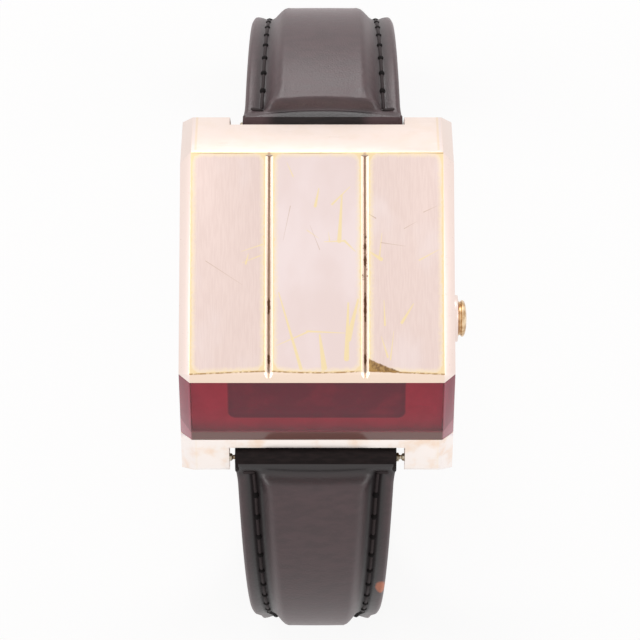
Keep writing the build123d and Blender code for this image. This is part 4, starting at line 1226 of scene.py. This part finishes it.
# Piston in the tube, a thin waist, a collar and the pin that stands in the lug
tip_profile = [
    (7.9, 0.0), (7.9, 0.5), (9.3, 0.5), (9.42, 0.26), (9.62, 0.24), (9.74, 0.42), (9.95, 0.45),
    (10.75, 0.45), (10.9, 0.34), (10.9, 0.0),
]
for half in halves:
    bar_middle = (case_middle_x, half.bar_y, bar_height)
    bar = turned(half.name + "_bar_tube", bar_profile, bar_middle, "case", bar_steel)
    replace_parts(bar, half.name + "_bar")
    for side, sign in (("left", -1), ("right", 1)):
        node = half.name + "_" + side + "_tip"
        profile = [(sign * place, radius) for place, radius in tip_profile]
        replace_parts(turned(node + "_pin", profile, bar_middle, node, bar_steel), node)

# %% [markdown]
# ## Button
# The push button is a small gold mushroom: a cap with a waist and a rounded top, turned on its
# axis, which stands in a raised collar on the case's side. Behind it sits a wire coil.

# %% Button
worn_button = Finish("worn_button", shade(222, 182, 134), 0.26, metallic=1)
smear = worn_button.noise(1.2, detail=4)
worn_button.color(worn_button.mottle(smear, 0.36, 0.66, shade(238, 212, 176), shade(188, 148, 102)))
worn_button.roughen(smear, 0.2, 0.4)
button_stand_out = 0.25 * mm
collar_edge = 0.1 * mm
button_low, button_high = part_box("button_cap")
button_y, button_z = (button_low.y + button_high.y) / 2, (button_low.z + button_high.z) / 2
button_length = (button_high.x - button_low.x) / mm
# Places along X from the cap's outer end, from the stem inwards to the domed top
button_profile = [
    (-button_length, 0.0), (-button_length, 0.6), (-2.1, 0.6), (-2.1, 1.98), (-2.0, 2.08), (-1.0, 2.08),
    (-0.92, 1.98), (-0.84, 1.9), (-0.74, 1.9), (-0.66, 2.0), (-0.6, 2.09), (-0.42, 2.07), (-0.26, 1.9),
    (-0.13, 1.5), (-0.05, 0.95), (-0.01, 0.4), (0.0, 0.0),
]
button_top = (button_high.x + button_stand_out, button_y, button_z)
button = turned("push_button", button_profile, button_top, "button", worn_button)
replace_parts(button, "button_cap")
collar = bevelled_copy("button_collar", "button_ring", "case", collar_edge, [case_gold, worn_gold])

# %% Button spring
spring_low, spring_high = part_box("button_spring")
spring_length = spring_high.x - spring_low.x
wire_radius, coil_radius = 0.075 * mm, 1.25 * mm
coil_turns, turn_steps, wire_sides = 3, 40, 8
vertices, faces = [], []
for step in range(coil_turns * turn_steps + 1):
    turn = 2 * math.pi * step / turn_steps
    along = wire_radius + (spring_length - 2 * wire_radius) * step / (coil_turns * turn_steps)
    for corner in range(wire_sides):
        angle = 2 * math.pi * corner / wire_sides
        reach = coil_radius + wire_radius * math.cos(angle)
        vertices.append((
            spring_low.x + along + wire_radius * math.sin(angle),
            button_y + reach * math.cos(turn),
            button_z + reach * math.sin(turn),
        ))
        if step:
            high, following = step * wire_sides, (corner + 1) % wire_sides
            low = high - wire_sides
            faces.append((low + corner, low + following, high + following, high + corner))
faces.append(tuple(range(wire_sides)))
faces.append(tuple(range(len(vertices) - wire_sides, len(vertices))))
coil = skin("button_coil", vertices, faces)
bpy.ops.object.shade_smooth_by_angle(angle=math.radians(60))
dress(coil, bar_steel)
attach(coil, "case")
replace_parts(coil, "button_spring")
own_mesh(coil)
print("button coil", len(faces), "faces")

# %% [markdown]
# ## Back and module
# From below one sees the screwed steel back. Inside, a black plastic frame holds two silver
# cells, a green circuit board with its chip and quartz can, and the display board. Plain pieces
# keep their exact shape; each finish has its own grain.


# %% Finishes of the back and the module
def grained(name, color, darker, roughness, metallic, grain, depth):
    """A finish with a plain two-tone grain and a fine bump."""
    color, darker = shade(*color), shade(*darker)
    finish = Finish(name, color, roughness, metallic=metallic)
    grains = finish.noise(grain, detail=4)
    finish.color(finish.mottle(grains, 0.35, 0.7, color, darker))
    finish.roughen(grains, max(roughness - 0.08, 0.05), min(roughness + 0.1, 1.0))
    finish.bump(grains, depth * mm, 0.3)
    return finish


turning_pitch, turning_depth = 0.35 * mm, 0.004 * mm
back_steel = Finish("back_steel", shade(206, 204, 200), 0.32, metallic=1)
x, y = back_steel.place()[:2]
round_x = back_steel.sum("SUBTRACT", x, case_middle_x)
round_y = back_steel.sum("SUBTRACT", y, case_middle_y)
ring = back_steel.length(round_x, round_y)
turning = back_steel.sum("SINE", back_steel.times(ring, 2 * math.pi / turning_pitch))
scuffs = back_steel.noise(0.9, detail=5)
back_steel.color(back_steel.mottle(scuffs, 0.4, 0.7, shade(208, 206, 203), shade(190, 186, 180)))
back_steel.roughen(back_steel.times_plus(turning, 0.2, scuffs), 0.22, 0.42)
back_steel.bump(turning, turning_depth, 0.3)

# Colour, darker colour, roughness, metallic, grains in a millimetre and depth in millimetres
plain_looks = {
    "screw_steel": ((214, 210, 204), (150, 142, 132), 0.26, 1.0, 3.0, 0.005),
    "black_rubber": ((28, 27, 28), (40, 38, 38), 0.8, 0.0, 3.0, 0.02),
    # The seal behind the window's edge is a warm cream, so it hardly shows against the gold
    "cream_rubber": ((226, 206, 190), (206, 184, 164), 0.6, 0.0, 3.0, 0.02),
    "black_plastic": ((30, 30, 33), (44, 44, 47), 0.55, 0.0, 2.0, 0.02),
    "mask_plastic": ((44, 26, 28), (56, 34, 36), 0.6, 0.0, 1.0, 0.02),
    "display_red": ((110, 16, 20), (86, 12, 16), 0.25, 0.0, 1.5, 0.005),
    "board_green": ((38, 84, 58), (30, 66, 46), 0.42, 0.0, 0.6, 0.01),
    "cell_silver": ((202, 204, 206), (172, 174, 178), 0.28, 1.0, 1.2, 0.004),
    "brass": ((214, 178, 104), (180, 142, 78), 0.3, 1.0, 2.0, 0.005),
    "chip_black": ((36, 36, 38), (52, 52, 54), 0.5, 0.0, 4.0, 0.01),
    "can_metal": ((196, 196, 194), (160, 158, 154), 0.3, 1.0, 1.5, 0.004),
    "trimmer_white": ((226, 218, 200), (202, 190, 166), 0.5, 0.0, 2.0, 0.01),
    "spring_steel": ((186, 188, 192), (146, 146, 150), 0.24, 1.0, 3.0, 0.002),
}
plain_finishes = {name: grained(name, *looks) for name, looks in plain_looks.items()}

plain_pieces = {
    "back_gasket": "black_rubber", "battery_contacts": "brass", "battery_left": "cell_silver",
    "battery_right": "cell_silver", "board_posts": "brass", "buckle_bar": "polished_gold",
    "button_clip": "spring_steel", "button_seal": "black_rubber",
    "circuit_board": "board_green", "controller_chip": "chip_black", "display_board": "board_green",
    "display_mask": "mask_plastic", "led_digits": "display_red", "lens_seal": "cream_rubber",
    "module_frame": "black_plastic", "quartz_can": "can_metal", "switch_blade": "spring_steel",
    "trimmer": "trimmer_white",
}
plain_finishes["polished_gold"] = polished_gold
for node, finish_name in plain_pieces.items():
    dress(nodes[node], plain_finishes[finish_name])
print(len(plain_pieces), "plain pieces dressed")

# %% Back and screws with rounded edges
back_edge, screw_edge = 0.12 * mm, 0.05 * mm
screw_steel = plain_finishes["screw_steel"]
back_plate = bevelled_copy("case_back", "back_plate", "case", back_edge, [back_steel] * 2)
screws = bevelled_copy("back_screws", "back_screw_heads", "case", screw_edge, [screw_steel] * 2, angle=40)
